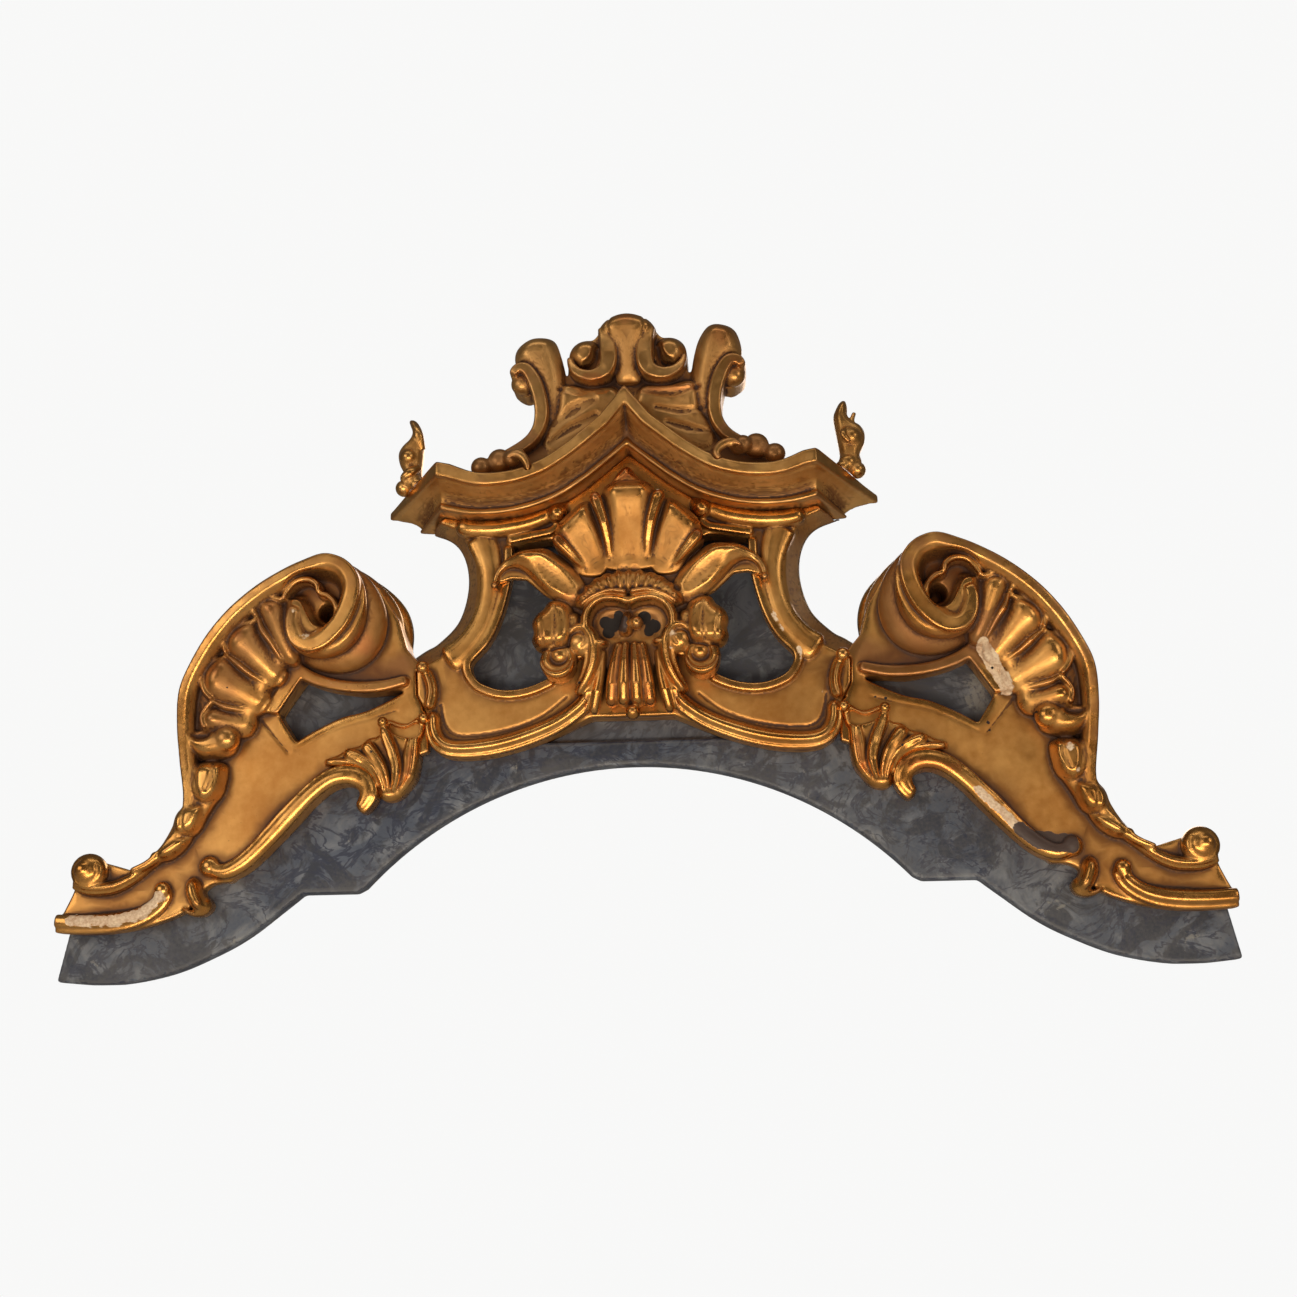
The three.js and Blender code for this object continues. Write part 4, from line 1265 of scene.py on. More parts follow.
# %% Husks
husks = [
    ([(567, -166), (578, -158), (596, -157), (614, -163), (618, -182), (616, -202), (604, -217),
      (590, -219), (576, -208), (569, -190)], 88, 17),
    ([(594, -218), (612, -217), (632, -224), (640, -240), (638, -256), (624, -263), (608, -258),
      (598, -242)], 85, 14),
    ([(614, -262), (632, -261), (650, -268), (662, -282), (660, -293), (644, -293), (626, -281)], 78, 10),
]
wing.add([moulding(
    along([(592, -160), (596, -190), (606, -216), (622, -244), (644, -274), (670, -294)], 40),
    [40, 44, 38, 34, 26, 12], [76, 76, 75, 72, 68, 62], 12, ROOT, dome(0.8),
)], 3)
for outline, crest, width in husks:
    wing.pillow(loop(outline), 60, crest, width, ROOT, 2.0, 0.6)
wing.add([ball(663, -289, 64, 8, 8)], 1)
wing.engrave(along([(584, -164), (582, -180), (590, -200)]), [8, 9, 5], 3.0, 60)
wing.engrave(along([(604, -166), (606, -184), (602, -206)]), [7, 8, 5], 2.5, 60)
wing.engrave(along([(622, -226), (624, -242), (622, -256)]), [6, 8, 5], 2.5, 60)
wing.engrave(along([(640, -270), (652, -280), (660, -288)]), 4, 2.0, 55)
print(len(husks), "husks")

# %% [markdown]
# The foot ends in a scroll above and a stepped rail below, with a leaf between the two rails.
# The long lower rail is a roll with a fillet, and it ends in a curl beside the acanthus leaf.

# %% Foot and lower rail
STEPPED = np.array([
    (-1, 0), (-0.98, 0.45), (-0.9, 0.52), (-0.62, 0.52), (-0.56, 0.34), (-0.5, 0.34), (-0.44, 0.7),
    (-0.3, 0.92), (0, 1), (0.45, 0.97), (0.8, 0.85), (0.95, 0.6), (1, 0),
])
foot_rail = along([
    (800, -377), (760, -379), (715, -377), (684, -370), (662, -357), (652, -342), (653, -330),
], 60)
foot_roll = along([(778, -322), (756, -330), (724, -329), (698, -318), (676, -303), (660, -292)], 60)
wing.add([
    moulding(foot_roll[::-1], [8, 12, 16, 18, 18, 17], [64, 67, 70, 73, 74, 74], 13, ROOT, ROLL, (1, 0.3)),
    ball(757, -307, 62, 26, 20),
    ball(762, -305, 76, 12, 9),
    moulding(
        foot_rail, [26, 26, 26, 25, 24, 24], [73, 73, 73, 72, 71, 70], 15, ROOT,
        STEPPED[::-1] * (-1, 1), (0, 1),
    ),
    ball(653, -334, 62, 12, 10),
], 1.2)
wing.engrave(arc(758, -306, 17, 150, 420), 4, 2.5, 58)
wing.engrave(straight([(646, -346), (666, -345)]), 2.5, 2, 50)
wing.pillow(loop([
    (612, -318), (620, -326), (620, -342), (610, -360), (598, -366), (590, -358), (596, -340), (602, -324),
]), 56, 78, 11, ROOT, 1)
wing.pillow(loop([
    (597, -346), (590, -346), (584, -356), (590, -368), (606, -372), (622, -366), (628, -354), (614, -362),
    (602, -358),
]), 52, 66, 6, ROOT, 1)
SOFT_BAND = np.array([
    (-1, 0), (-0.97, 0.4), (-0.86, 0.68), (-0.62, 0.88), (-0.3, 0.98), (0, 1), (0.3, 0.96), (0.54, 0.85),
    (0.64, 0.68), (0.7, 0.68), (0.77, 0.86), (0.9, 0.88), (0.98, 0.6), (1, 0),
])
lower_rail = along([
    (383, -230), (374, -222), (367, -207), (372, -193), (384, -184), (402, -181), (424, -187),
    (448, -205), (480, -238), (512, -272), (540, -298), (566, -311), (590, -306),
], 140)
wing.add([
    moulding(
        lower_rail, [20, 27, 29, 28, 27, 26, 25, 26, 26, 25, 24, 24, 22, 20],
        [66, 70, 72, 74, 74, 74, 74, 73, 72, 71, 70, 69, 68], 15, 32, SOFT_BAND, (0.6, 1),
    ),
    ball(589, -303, 58, 14, 11),
], 1.2)
wing.clear_of("painted_board").clear_of("middle_frame")
wing.soften(2).waver(120, 0.35, 5)
print("lower rail", round(length_of(lower_rail)), "mm long")


# %% [markdown]
# The right wing lost its gold along the bar of the window and on the lower rail, down to white
# gesso, and a stretch of that rail down to dark wood. The left wing is bare along its foot. Both
# wings also get a painted shadow on the field under the volute.


# %% Damage of the wings, and painted shadow under the volutes
rim_line = np.array(shoulder[5:] + [(400, 110), (380, 80)])
under_line = np.array([(486, 0), (462, -22), (430, -36), (392, -42), (350, -38), (322, -24)])


def shoulder_age_and_shadow(points, strength):
    """The upper rim and the barrel of a volute are brown with age, and the field under it gets a painted
    shadow.
    """
    rim = strokes(points, [rim_line * (side, 1) for side in (1, -1)], 40)
    barrel = (np.hypot(np.abs(points[:, 0]) - 400, points[:, 2] - 30) < 120) * (points[:, 1] > -104)
    # Painted shadow on the field under the volute.
    shadow = strokes(points, [under_line * (side, 1) for side in (1, -1)], 56) * (points[:, 1] > -62)
    darkened = strength * np.maximum(np.clip(rim, 0, 1), barrel * (points[:, 1] < -56))
    return np.maximum(darkened, np.clip(shadow, 0, 1) * 0.95)


def right_wing_marks(points):
    return {
        "darkened": shoulder_age_and_shadow(points, 0.75),
        "gesso": np.maximum.reduce([
            strokes(points, [[(484, -30), (514, -86)]], 26) * 0.95,
            strokes(points, [[(466, -226), (486, -246), (516, -276)]], 21) * 0.8,
            spots(points, [(590, -172, 15), (600, -205, 10)]) * 0.55,
            strokes(points, [[(612, 4), (628, -90)]], 9) * 0.5,
        ]),
        "bole": np.maximum.reduce([
            strokes(points, [[(366, -182), (440, -196)]], 30) * 0.5,
            strokes(points, [[(650, -350), (720, -380)]], 24) * 0.35,
            strokes(points, [[(320, -90), (440, -116)]], 26) * 0.3,
            spots(points, [(480, 44, 20), (400, -34, 40)]) * 0.35,
        ]),
        "bare": strokes(
            points, [[(520, -280), (545, -300), (588, -304)], [(546, -290), (586, -296)]], 26,
        ) * 0.95,
        "worm_and_shadow": spots(points, [
            (336, -90, 2.4), (350, -93, 3.2), (496, -58, 2.6), (488, -132, 2.8), (489, -142, 2.4),
            (368, -163, 2.8), (549, -124, 2.6), (318, -192, 2.2),
        ]),
    }


def left_wing_marks(points):
    return {
        "darkened": np.maximum(
            shoulder_age_and_shadow(points, 0.5),
            strokes(points, [[(-480, 40), (-530, 10), (-570, -50), (-580, -110)]], 90) * 0.6,
        ),
        "gesso": np.maximum.reduce([
            strokes(points, [[(-775, -374), (-720, -376), (-680, -368), (-656, -344)]], 24) * 0.95,
            strokes(points, [[(-470, -34), (-420, -52), (-340, -52)]], 16) * 0.4,
            spots(points, [(-444, 10, 26), (-464, 40, 18)]) * 0.44,
        ]),
        "bole": np.maximum.reduce([
            spots(points, [(-374, 0, 34), (-500, 50, 16), (-545, 14, 16), (-578, -34, 16)]) * 0.5,
            strokes(points, [[(-330, -180), (-340, -212)]], 24) * 0.4,
        ]),
        "worm_and_shadow": spots(points, [(-363, -152, 3.0), (-560, -60, 2.2), (-445, -172, 2.2)]),
    }


finish_piece("right_wing", wing, gold, 165000, right_wing_marks)
finish_piece("left_wing", wing, gold, 165000, left_wing_marks, flip=True)

# %% [markdown]
# An acanthus leaf hides each joint between the middle and a wing. Its fingers fan out from one
# root, each with a round tip and a fluted back, and the gaps between them are left deep and dark.

# %% Acanthus leaves
leaf = block_for("right_acanthus", 86, 1.0)
leaf.pillow(loop([
    (287, -100), (300, -97), (318, -108), (346, -100), (354, -112), (356, -124), (372, -128),
    (384, -138), (400, -141), (414, -150), (438, -158), (436, -168), (410, -170), (384, -171),
    (366, -180), (357, -196), (354, -212), (340, -218), (322, -212), (312, -196), (306, -170),
    (300, -146), (290, -126),
], 90), 48, 62, 8, 31, 1)
fingers = [
    ([(300, -104), (306, -128), (309, -156), (312, -184), (326, -208)],
     [14, 20, 24, 20, 10], [62, 66, 70, 72, 62]),
    ([(347, -112), (342, -130), (332, -155), (327, -180), (334, -208)],
     [16, 17, 17, 14, 9], [78, 80, 82, 80, 66]),
    ([(374, -136), (362, -152), (349, -170), (342, -190), (340, -208)],
     [20, 19, 15, 12, 8], [78, 80, 80, 76, 66]),
    ([(403, -150), (384, -157), (364, -170), (352, -188), (345, -208)],
     [19, 18, 14, 11, 7], [77, 79, 79, 75, 66]),
    ([(430, -163), (406, -164), (382, -168), (364, -180), (354, -200)],
     [13, 12, 11, 10, 6], [72, 75, 76, 73, 64]),
]
for line, width, crest in fingers:
    path = along(line, 40)
    leaf.add([moulding(path, width, crest, 14, 31, dome(0.8), (1.2, 0.6))], 1.5)
    leaf.engrave(beside(path, 1.5)[6:-4], [5, 9, 8, 4], [1, 2.4, 2.4, 1], 45)
leaf.scoop(loop([
    (344, -108), (322, -115), (304, -108), (297, -114), (301, -130), (318, -131), (336, -124),
]), 72, 44, 6)
leaf.add([ball(347, -110, 72, 8, 9), ball(292, -104, 62, 8, 8)], 1)
leaf.clear_of("middle_frame", 0.3).clear_of("right_wing", 0.3)
leaf.soften(1)


def leaf_marks(points):
    return {
        "bole": strokes(points, [[(306, -150), (314, -190)], [(-306, -150), (-314, -190)]], 24) * 0.5,
        "worm_and_shadow": spots(points, [(-361, -152, 2.6), (368, -163, 2.4)]),
    }


finish_piece("right_acanthus", leaf, gold, 26000, leaf_marks)
finish_piece("left_acanthus", leaf, gold, 26000, leaf_marks, flip=True)

# %% [markdown]
# The cornice is one profile run along an ogee line: a bead, a cove and a top fillet. Its two
# halves meet in a mitre, and splayed returns carry the profile back to the wall.

# %% Cornice
CORNICE_DEPTH = 129.6
BEAD_DEPTH = 92
CORNICE_END = 266
# Pairs of a height above the line and a depth, given from the bead's face and the fillet's.
bead_and_cove = [(0, -5), (1, -1), (3, 0), (7, 0), (8, -5), (9, -6), (11, -5), (15, -2), (20, 5), (24, 15)]
top_edge = [(27, -14), (29, -10), (30, -9), (31, -1), (33, 0), (46, 0), (48, -3), (53, -30)]
profile = np.array(
    [(0, 0)]
    + [(height, BEAD_DEPTH + step) for height, step in bead_and_cove]
    + [(height, CORNICE_DEPTH + step) for height, step in top_edge]
    + [(53, 0)]
)


def cornice_half():
    run = np.gradient(cornice_line, axis=0)
    run /= np.linalg.norm(run, axis=1)[:, None]
    share = np.linspace(0, 1, len(cornice_line))
    taller = at([1.24, 1.05, 1, 1, 1, 1], share)
    rings = np.empty((len(cornice_line), len(profile), 3))
    for k, (rise, depth) in enumerate(profile):
        height = rise * taller
        out = np.stack([run[:, 1], -run[:, 0]], axis=1) * height[:, None]
        out[0] = (0, height[0])
        rings[:, k, 0] = np.maximum(cornice_line[:, 0] + out[:, 0], -0.5)
        rings[:, k, 1] = -depth
        rings[:, k, 2] = cornice_line[:, 1] + out[:, 1]
        rings[-1, k, 0] = -0.5
        rings[-1, k, 2] = cornice_line[-1, 1] + rise * 1.62
    corner = rings[0]
    wall = corner.copy()
    wall[:, 0] = CORNICE_END + 90 * np.maximum(profile[:, 1] / CORNICE_DEPTH, 0.42) ** 2
    wall[:, 1] = -np.minimum(profile[:, 1], 6)
    wall[:, 2] = cornice_line[0, 1] + profile[:, 0] * 0.72 - 10
    returns = [corner * (1 - t) + wall * t for t in np.linspace(0, 1, 24)]
    return [loft(rings), loft(returns)]


# The bright tips of the crown's sprigs hook over the top fillet, which is let in behind them.
sprig_tips = [
    (along([(164, 258), (150, 264), (134, 258), (127, 247), (133, 238)], 40), [5, 11, 14, 12, 8]),
    (along([(-168, 252), (-156, 258), (-145, 254), (-138, 243), (-136, 231)], 40), [6, 12, 14, 11, 5]),
]
cornice = block_for("cornice", CORNICE_DEPTH)
cornice.add(on_both_sides(cornice_half()), 0)
cornice.cut([moulding(line, np.array(width) + 3, 140, 15, 120, FLAT) for line, width in sprig_tips])
cornice.soften(1).waver(60, 0.3, 7)


def cornice_marks(points):
    return {
        "bole": strokes(
            points, [[(-266, 246), (-232, 238)], [(0, 344), (26, 322)], [(0, 280), (60, 232)]], 22,
        ) * 0.35,
        "gesso": spots(points, [(-258, 236, 16)]) * 0.3,
    }


finish_piece("cornice", cornice, dull_gold, 60000, cornice_marks)

# %% [markdown]
# The shell is the heart of the piece: broad lobes with worn lips, double ribs between them that
# end in knobs, and two leaf-like wings that droop at the tips.

# %% Shell cartouche
SHELL_BACK = 62
shell = block_for("shell_cartouche", 118, 1.25)
shell.evening = 30
shell_outline = [
    (0, 212), (38, 200), (46, 196), (74, 190), (92, 170), (100, 148), (100, 122), (140, 116),
    (166, 110), (188, 96), (186, 84), (166, 90), (146, 88), (120, 64), (96, 50), (112, 40),
    (118, 10), (100, -16), (56, -2), (34, -20), (28, -84), (0, -96),
]
shell.add([plate(both_halves(shell_outline), SHELL_BACK, SHELL_BACK + 12)], 0)
shell.pillow(loop([
    (-38, 204), (-29, 219), (0, 227), (28, 221), (40, 204), (39, 182), (36, 152), (34, 124), (32, 98),
    (-30, 98), (-31, 124), (-33, 152), (-36, 182),
]), 82, [(0, 206, 118), (0, 110, 86)], 36, SHELL_BACK, 1.5, 0.5)
shell.engrave(straight([(2, 226), (2, 118)]), [40, 32, 18], [2.5, 3, 1], 80)
shell_ribs = [
    ([(47, 204), (41, 186), (33, 160), (28, 134), (26, 110)], [18, 16, 14, 12, 9], [115, 114, 109, 99, 86]),
    ([(103, 143), (90, 128), (75, 113), (60, 98)], [18, 16, 13, 9], [112, 109, 99, 85]),
]
for side in (1, -1):
    shell.pillow(side_of([
        (54, 196), (70, 191), (87, 179), (100, 163), (103, 147), (95, 128), (82, 110), (66, 90),
        (38, 90), (30, 110), (34, 142), (43, 172),
    ], side), 80, [(78 * side, 172, 117), (46 * side, 106, 85)], 34, SHELL_BACK, 1.5, 0.5)
    shell.engrave(along([(86, 180), (64, 142), (48, 110)]) * (side, 1), [40, 34, 18], [3, 3.5, 1], 80)
    for line, width, crest in shell_ribs:
        path = along(line, 50) * (side, 1)
        shell.add([moulding(path, width, crest, 14, SHELL_BACK, dome(0.8), (1.2, 0.5))], 1)
        shell.engrave(path[8:], [6, 5, 4], 2.0, 75)
    shell.pillow(side_of([
        (106, 124), (120, 130), (136, 129), (152, 127), (168, 119), (182, 108), (191, 94), (192, 76),
        (186, 74), (184, 88), (176, 101), (162, 105), (148, 99), (133, 83), (117, 66), (98, 53),
        (78, 46), (62, 54), (62, 76), (82, 104),
    ], side), 76, [(150 * side, 118, 110), (70 * side, 62, 88)], 15, SHELL_BACK, 1, 0.6)
    shell.engrave(
        along([(178, 106), (158, 113), (132, 106), (108, 88), (84, 68)]) * (side, 1),
        [8, 14, 26, 30, 18], [1, 3, 5, 4.5, 1.5], 75,
    )
    shell.add([ball(189 * side, 78, 82, 6, 9)], 1)

# %% [markdown]
# Under the hinge the carver undercut two hollows, which read as dark holes, under a rim that
# curls back on both sides. Above it small flutes fan out over a swelling skirt, as on a scallop.

# %% Skirt and hollows
shell.evening = 8
shell.pillow(loop([
    (-74, 44), (-70, 62), (-54, 78), (-30, 90), (0, 95), (30, 90), (54, 78), (70, 62), (74, 44),
    (52, 46), (28, 54), (0, 56), (-28, 54), (-52, 46),
]), 84, 105, 15, SHELL_BACK, 2, 0.6)
for x in (-66, -52, -37, -22, -7, 8, 23, 38, 52, 66):
    top_z = 99 - abs(x) * 0.52
    shell.engrave(straight([(x * 0.62, 57 - abs(x) * 0.12), (x, top_z)]), [8, 12, 15], [2, 4.5, 4], 80)
hollow = [(6, 36), (22, 43), (40, 38), (48, 24), (46, 6), (36, -5), (14, -9), (4, 8)]
hollow_rim = along([
    (0, 46), (16, 50), (36, 50), (52, 41), (60, 25), (59, 8), (51, -7), (40, -11), (32, -6),
], 60)
for side in (1, -1):
    shell.scoop(side_of(hollow, side), 112, 72, 5)
    shell.add([
        moulding(
            hollow_rim * (side, 1),
            [16, 13, 13, 14, 15, 15, 14, 14, 11], [104, 107, 109, 108, 106, 104, 102, 100, 96],
            20, SHELL_BACK, dome(0.9), (0, 1.2),
        ),
        moulding(
            along([(2, 57), (26, 60), (50, 53), (68, 42)], 30) * (side, 1),
            7, [112, 111, 108, 100], 10, SHELL_BACK, dome(0.8),
        ),
    ], 1)
shell.pillow(loop([(-3, 36), (-13, 22), (-15, 6), (-6, 0), (3, 6), (3, 22)]), 70, 101, 8, SHELL_BACK, 1)
shell.add([ball(10, 17, 86, 10, 12)], 1)
print("skirt cut, with a hollow on each side")

# %% [markdown]
# A pendant of pleats hangs below, with a drop at its end. Curled leaves flank it: each has a
# fluted lobe above, and a cup with a bright rim below.

# %% Pendant and side leaves
pleats = [(-16, -28, 93), (-6, -10, 98), (6, 9, 98), (16, 27, 93)]
shell.add([
    moulding(
        along([(top, -8), (top * 0.4 + foot * 0.6, -52), (foot, -98)], 30),
        [10, 14, 18, 17], [crest - 6, crest, crest, crest - 8], 12, SHELL_BACK - 4, dome(0.8),
    )
    for top, foot, crest in pleats
], 2.0)
shell.add([ball(2, -106, 74, 11, 13)], 1)
side_leaf = [
    (84, 46), (98, 54), (114, 52), (120, 42), (131, 34), (137, 21), (134, 8), (137, -4), (129, -17),
    (110, -19), (90, -17), (78, -4), (76, 14), (78, 32),
]
side_petal = [(70, 32), (80, 36), (90, 26), (90, 10), (80, 4), (70, 8), (66, 20)]
outer_pleats = [(38, 54, 86), (48, 70, 82)]
leaf_curl = along([
    (82, -2), (78, 8), (66, 11), (55, 2), (51, -16), (53, -38), (62, -60), (76, -80),
], 60)
for side in (1, -1):
    for crest_x, foot_x, depth in outer_pleats:
        shell.add([moulding(
            along([(crest_x, -18), (crest_x * 0.7 + foot_x * 0.3, -58), (foot_x, -106)], 30) * (side, 1),
            [8, 13, 16, 13], [depth - 2, depth, depth - 2, depth - 14], 12, 54, dome(0.8),
        )], 2)
    shell.pillow(side_of(side_petal, side), 74, 96, 10, SHELL_BACK, 1, 0.6)
    shell.pillow(
        side_of(side_leaf, side), 78, [(108 * side, 4, 107), (102 * side, 50, 98)], 16, SHELL_BACK, 1, 0.6,
    )
    shell.engrave(along([(104, 44), (102, 14), (104, -10)]) * (side, 1), [4, 8, 8], 2.2, 75)
    shell.engrave(along([(124, 30), (122, 10), (120, -10)]) * (side, 1), [3, 7, 7], 1.8, 75)
    shell.add([ball(100 * side, -34, 84, 26, 21)], 0.6)
    shell.scoop(arc(98 * side, -29, 18, 0, 360, 30)[:-1], 108, 90, 9)
    shell.add([
        moulding(arc(100 * side, -34, 22, 180, 360, 40), [4, 9, 12, 9, 4], 107, 12, SHELL_BACK, dome(0.9)),
        ball(97 * side, -26, 88, 13, 11),
        ball(67 * side, -8, 84, 20, 17),
        moulding(
            leaf_curl * (side, 1),
            [11, 16, 20, 23, 24, 23, 20, 14], [98, 102, 103, 102, 98, 94, 88, 80], 16, 56,
            ROLL if side < 0 else ROLL_RIGHT,
        ),
    ], 1)
    shell.engrave(along([(84, -14), (80, 0), (66, 2), (61, -8), (66, -16)]) * (side, 1), 4, 2.5, 70)
    shell.engrave(along([(86, -15), (108, -19), (132, -15)]) * (side, 1), 3, 3.5, 75)
# A worn leaf tip stands above the middle lobe.
shell.pillow(loop([
    (-30, 216), (-22, 232), (-8, 248), (2, 250), (12, 236), (22, 222), (0, 214),
]), 62, 92, 12, 56, 1)
shell.engrave(along([(-24, 222), (-8, 228), (6, 240)]), 4, 3, 70)
shell.clear_of("middle_frame", 0.4)
shell.soften(2).waver(70, 0.3, 11)


# Painted shadow darkens the floors of the two hollows: black in blots, and brown towards their walls.
hollow_shadow_blots = [
    (20, 27, 13), (33, 15, 13), (26, 8, 10), (-20, 20, 13), (-34, 22, 12), (-30, 8, 12), (-16, 32, 9),
]
hollow_shade_browns = [(27, 19, 27), (-27, 19, 27)]
rubbed_lips = [(-4, 236, 28), (44, 203, 12), (-44, 196, 14), (-92, 138, 16), (100, 140, 16)]
rubbed_pleats = [[(-16, -20), (-26, -96)], [(16, -20), (26, -96)], [(0, -20), (0, -96)]]


def shell_marks(points):
    # Black blots and brown rings of painted shadow in the two hollows.
    blots = np.clip(spots(points, hollow_shadow_blots), 0, 1) * (points[:, 1] > -92)
    shade_browns = np.clip(spots(points, hollow_shade_browns), 0, 1) * (points[:, 1] > -97)
    return {
        "bole": np.maximum.reduce([
            spots(points, rubbed_lips) * 0.6,
            strokes(points, rubbed_pleats, 20) * 0.5,
            strokes(points, [[(-90, 60), (-60, 50), (-60, 66)], [(60, 50), (80, 48)]], 24) * 0.45,
            spots(points, [(-120, -4, 22)]) * 0.4,
        ]),
        "gesso": spots(points, [(44, 204, 10), (60, -4, 15), (58, -20, 9)]) * 0.5,
        "darkened": np.maximum(0.28, shade_browns),
        # Dark wood painted beside the hinge stands for the shadow in the hollow there.
        "bare": spots(points, [(-8, 20, 10), (-8, 10, 10)]) * 0.8,
        "worm_and_shadow": np.maximum(spots(points, [(-71, -64, 3.0)]), blots),
    }


finish_piece("shell_cartouche", shell, gold, 165000, shell_marks)

# %% [markdown]
# The crown stands on the cornice and is older looking: its gold is dull and brown. A scalloped
# lobe rises between two curls like capital Cs, and crests with hooked tips stand on both sides.

# %% Crown
crown_half = [
    (0, 230), (60, 236), (120, 232), (170, 240), (222, 244), (216, 264), (186, 276), (160, 290),
    (143, 306), (134, 326), (133, 350), (138, 374), (152, 372), (168, 384), (170, 400), (164, 420),
    (160, 444), (142, 460), (120, 456), (104, 438), (96, 412), (88, 396), (86, 424), (82, 440),
    (66, 453), (51, 456), (44, 463), (36, 474), (21, 485), (0, 489.5),
]
CROWN_ROOT = 10
crown = block_for("crown", CORNICE_DEPTH)
crown_curve = np.vstack([
    crown_half[:3], along(crown_half[3:11], 40), along(crown_half[11:16], 20),
    along(crown_half[16:22], 24), along(crown_half[22:], 40),
])
crown.add([plate(both_halves(crown_curve), 6, 44)], 0)
crown.pillow(loop([
    (0, 489), (21, 484), (36, 473), (43, 459), (38, 446), (28, 428), (20, 404), (15, 384),
    (-13, 384), (-18, 404), (-26, 428), (-36, 446), (-42, 459), (-35, 473), (-21, 484),
]), 54, [(0, 470, 86), (0, 392, 64)], 26, CROWN_ROOT, 1, 0.5)
for side in (1, -1):
    crown.engrave(along([(25, 480), (27, 462), (21, 436), (13, 402)]) * (side, 1), [4, 5, 5, 3], 2.5, 40)
    crown.pillow(arc(61 * side, 431, 25, 0, 360, 40)[:-1], 36, 62, 18, CROWN_ROOT, 2, 0.6)
    crown.scoop(side_of([
        (38, 446), (37, 420), (46, 403), (62, 401), (78, 412), (68, 417), (56, 426), (50, 444),
    ], side), 78, 42, 7)
    c_path = along([
        (38, 466), (29, 442), (26, 416), (33, 397), (52, 390), (71, 397), (81, 411), (84, 424),
    ], 60)
    crown.add([moulding(
        c_path * (side, 1), [8, 19, 25, 24, 20, 17, 13, 6], [70, 75, 77, 77, 76, 74, 70, 64],
        16, CROWN_ROOT, FLAT,
    )], 1)
    crest_lift = 5 * side
    crown.pillow(side_of([
        (120, 466 + crest_lift), (140, 466 + crest_lift), (157, 456 + crest_lift), (165, 438), (164, 420),
        (150, 404), (136, 384), (127, 356), (122, 330), (108, 326), (98, 344), (91, 372), (92, 402),
        (98, 432), (106, 454),
    ], side), 40, [(132 * side, 452, 73), (106 * side, 340, 54)], 24, CROWN_ROOT, 1.5, 0.6)
    band = along([
        (168, 396), (160, 407), (147, 406), (135, 388), (127, 362), (125, 336), (132, 312), (152, 292),
        (200, 270),
    ], 90)
    crown.add([
        ball(154 * side, 389, 50, 17, 16),
        moulding(
            band * (side, 1), [12, 18, 21, 20, 20, 18, 16, 13, 11], [71, 73, 73, 71, 68, 66, 64, 62, 60],
            14, CROWN_ROOT, FLAT,
        ),
    ], 1)
    crown.pillow(side_of([
        (98, 384), (60, 382), (20, 380), (8, 352), (30, 320), (68, 294), (106, 278), (126, 292),
        (122, 318), (106, 342),
    ], side), 40, [(94 * side, 376, 60), (60 * side, 300, 46)], 12, CROWN_ROOT, 2)

# %% [markdown]
# Between the cornice and the curls hangs a cloth. On the left it falls in diagonal folds, and on
# the right in level ones, so each fold is pressed in with its own line.

# %% Drapery
folds = [
    ([(-108, 322), (-84, 342), (-52, 362)], [12, 24, 20], [2, 5, 3]),
    ([(-114, 298), (-86, 318), (-48, 336)], [10, 20, 18], [2, 4, 3]),
    ([(-100, 378), (-70, 372), (-34, 374)], [8, 16, 10], [2, 3.5, 2]),
    ([(104, 374), (70, 366), (24, 370)], [8, 16, 10], [2, 4, 2]),
    ([(114, 344), (80, 338), (40, 346)], [8, 14, 10], [1.5, 3.5, 2]),
    ([(118, 306), (90, 312), (56, 324)], [8, 16, 12], [1.5, 3.5, 2]),
]
for line, width, deep in folds:
    crown.engrave(along(line), width, deep, 30)
print(len(folds), "folds")

# %% [markdown]
# Leafy sprigs lie on the cornice at the foot of the crown, old and dirty, and only their curled
# tips still shine. The tips hook forward over the edge of the cornice.

# %% Sprigs
for side, lift in ((1, 8), (-1, 0)):
    crown.add([
        ball(209 * side, 254 + lift * 0.5, 80, 15, 14),
        ball(183 * side, 264 + lift, 76, 18, 15),
        ball(164 * side, 262 + lift, 90, 13, 12),
        lobe((110 * side, 296), (126 * side, 258), 15, 104, 100, 14, 60),
        lobe((132 * side, 288), (140 * side, 256), 12, 92, 96, 14, 60),
    ], 2.5)
crown.clear_of("cornice", 0.5)
for line, width in sprig_tips:
    crown.add([moulding(line, width, [124, 128, 129.6, 129.6, 128], 8, 121.5, dome(0.8))], 1)
tip_stem = along([(158, 262, 92), (152, 262, 110), (146, 260, 125)])
crown.add([stem(tip_stem * (side, 1, 1), [9, 8, 5]) for side in (1, -1)], 2)
crown.soften(1).waver(80, 0.4, 13)


rubbed_crests = [(44, 440, 18), (136, 446, 34), (-152, 396, 20), (156, 400, 24), (0, 476, 30)]
bare_feet = [[(-150, 290), (-210, 262)], [(150, 290), (210, 262)], [(-110, 392), (-80, 370)]]


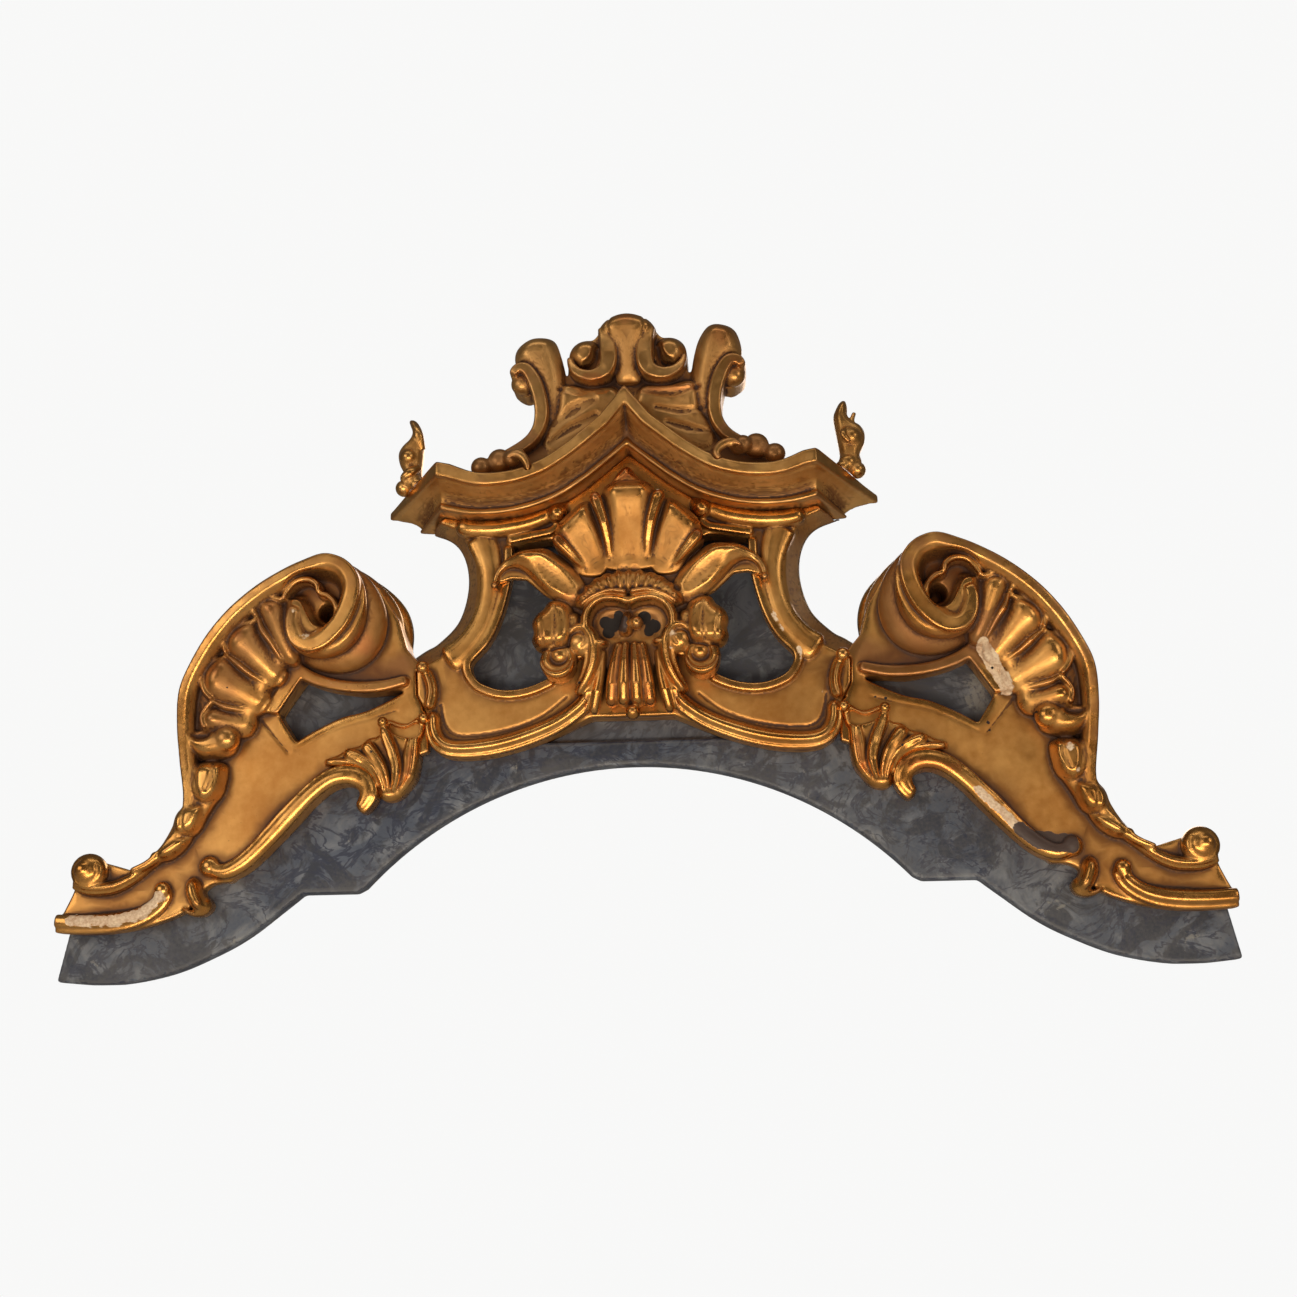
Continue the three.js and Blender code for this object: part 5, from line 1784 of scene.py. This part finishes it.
def crown_marks(points):
    sprigs = (np.hypot(np.abs(points[:, 0]) - 176, points[:, 2] - 268) < 60) * (points[:, 1] > -118)
    return {
        "darkened": np.clip(0.40 + 0.45 * sprigs, 0, 1),
        "bole": np.maximum.reduce([
            spots(points, rubbed_crests) * 0.45,
            strokes(points, [[(20, 372), (100, 372)], [(-60, 388), (-40, 386)]], 22) * 0.5,
        ]),
        "gesso": spots(points, [(-154, 392, 12), (34, 400, 9)]) * 0.35,
        "bare": strokes(points, bare_feet, 22) * 0.42,
    }


finish_piece("crown", crown, dull_gold, 100000, crown_marks)

# %% [markdown]
# A leaf and flame stand on the left return of the cornice. The right one has lost its tip and
# keeps only a knotted stump, and it stays broken.


# %% Finials
def finial(name, outline, extras):
    block = block_for(name, 84, 1.0, 14)
    block.pillow(loop(outline, 80), 56, 72, 10, 48, 1)
    block.add(extras, 1.5)
    block.clear_of("cornice", 0.5).soften(1)
    finish_piece(name, block, dull_gold, 14000)


finial("left_finial", [
    (-318, 337), (-308, 335), (-300, 321), (-297, 300), (-298, 275), (-300, 256), (-298, 242),
    (-314, 236), (-327, 242), (-325, 256), (-331, 270), (-333, 286), (-327, 298), (-317, 308),
    (-313, 318), (-316, 328),
], [
    ball(-317, 278, 62, 14, 18),
    ball(-313, 244, 62, 14, 16),
    ball(-325, 234, 58, 12, 14),
    ball(-305, 236, 66, 11, 12),
    stem(along([(-302, 262, 66), (-312, 252, 78), (-322, 244, 76), (-320, 236, 70)], 20), [6, 7, 6, 3], 0.8),
    stem(along([(-300, 290, 62), (-303, 312, 70), (-312, 330, 66)], 20), [7, 7, 2.5], 0.8),
])
finial("right_finial", [
    (311, 341), (304, 338), (298, 328), (294, 316), (296, 298), (299, 278), (301, 260), (300, 244),
    (316, 238), (331, 246), (329, 260), (336, 276), (337, 292), (330, 304), (321, 309), (314, 318),
    (314, 330),
], [
    ball(318, 283, 64, 15, 17),
    ball(312, 246, 62, 14, 15),
    ball(325, 236, 58, 12, 14),
    ball(304, 238, 66, 11, 12),
    stem(along([(318, 304, 60), (321, 314, 60), (324, 322, 58)], 20), [6, 3.5, 3], 0.9),
    stem(along([(312, 296, 70), (306, 284, 80), (314, 272, 80)], 20), [4, 5, 3], 0.8),
])

# %% [markdown]
# Last, the number of pieces and of their triangles is printed.

# %% Triangle count
print(len(triangle_counts), "pieces,", sum(triangle_counts.values()), "triangles")
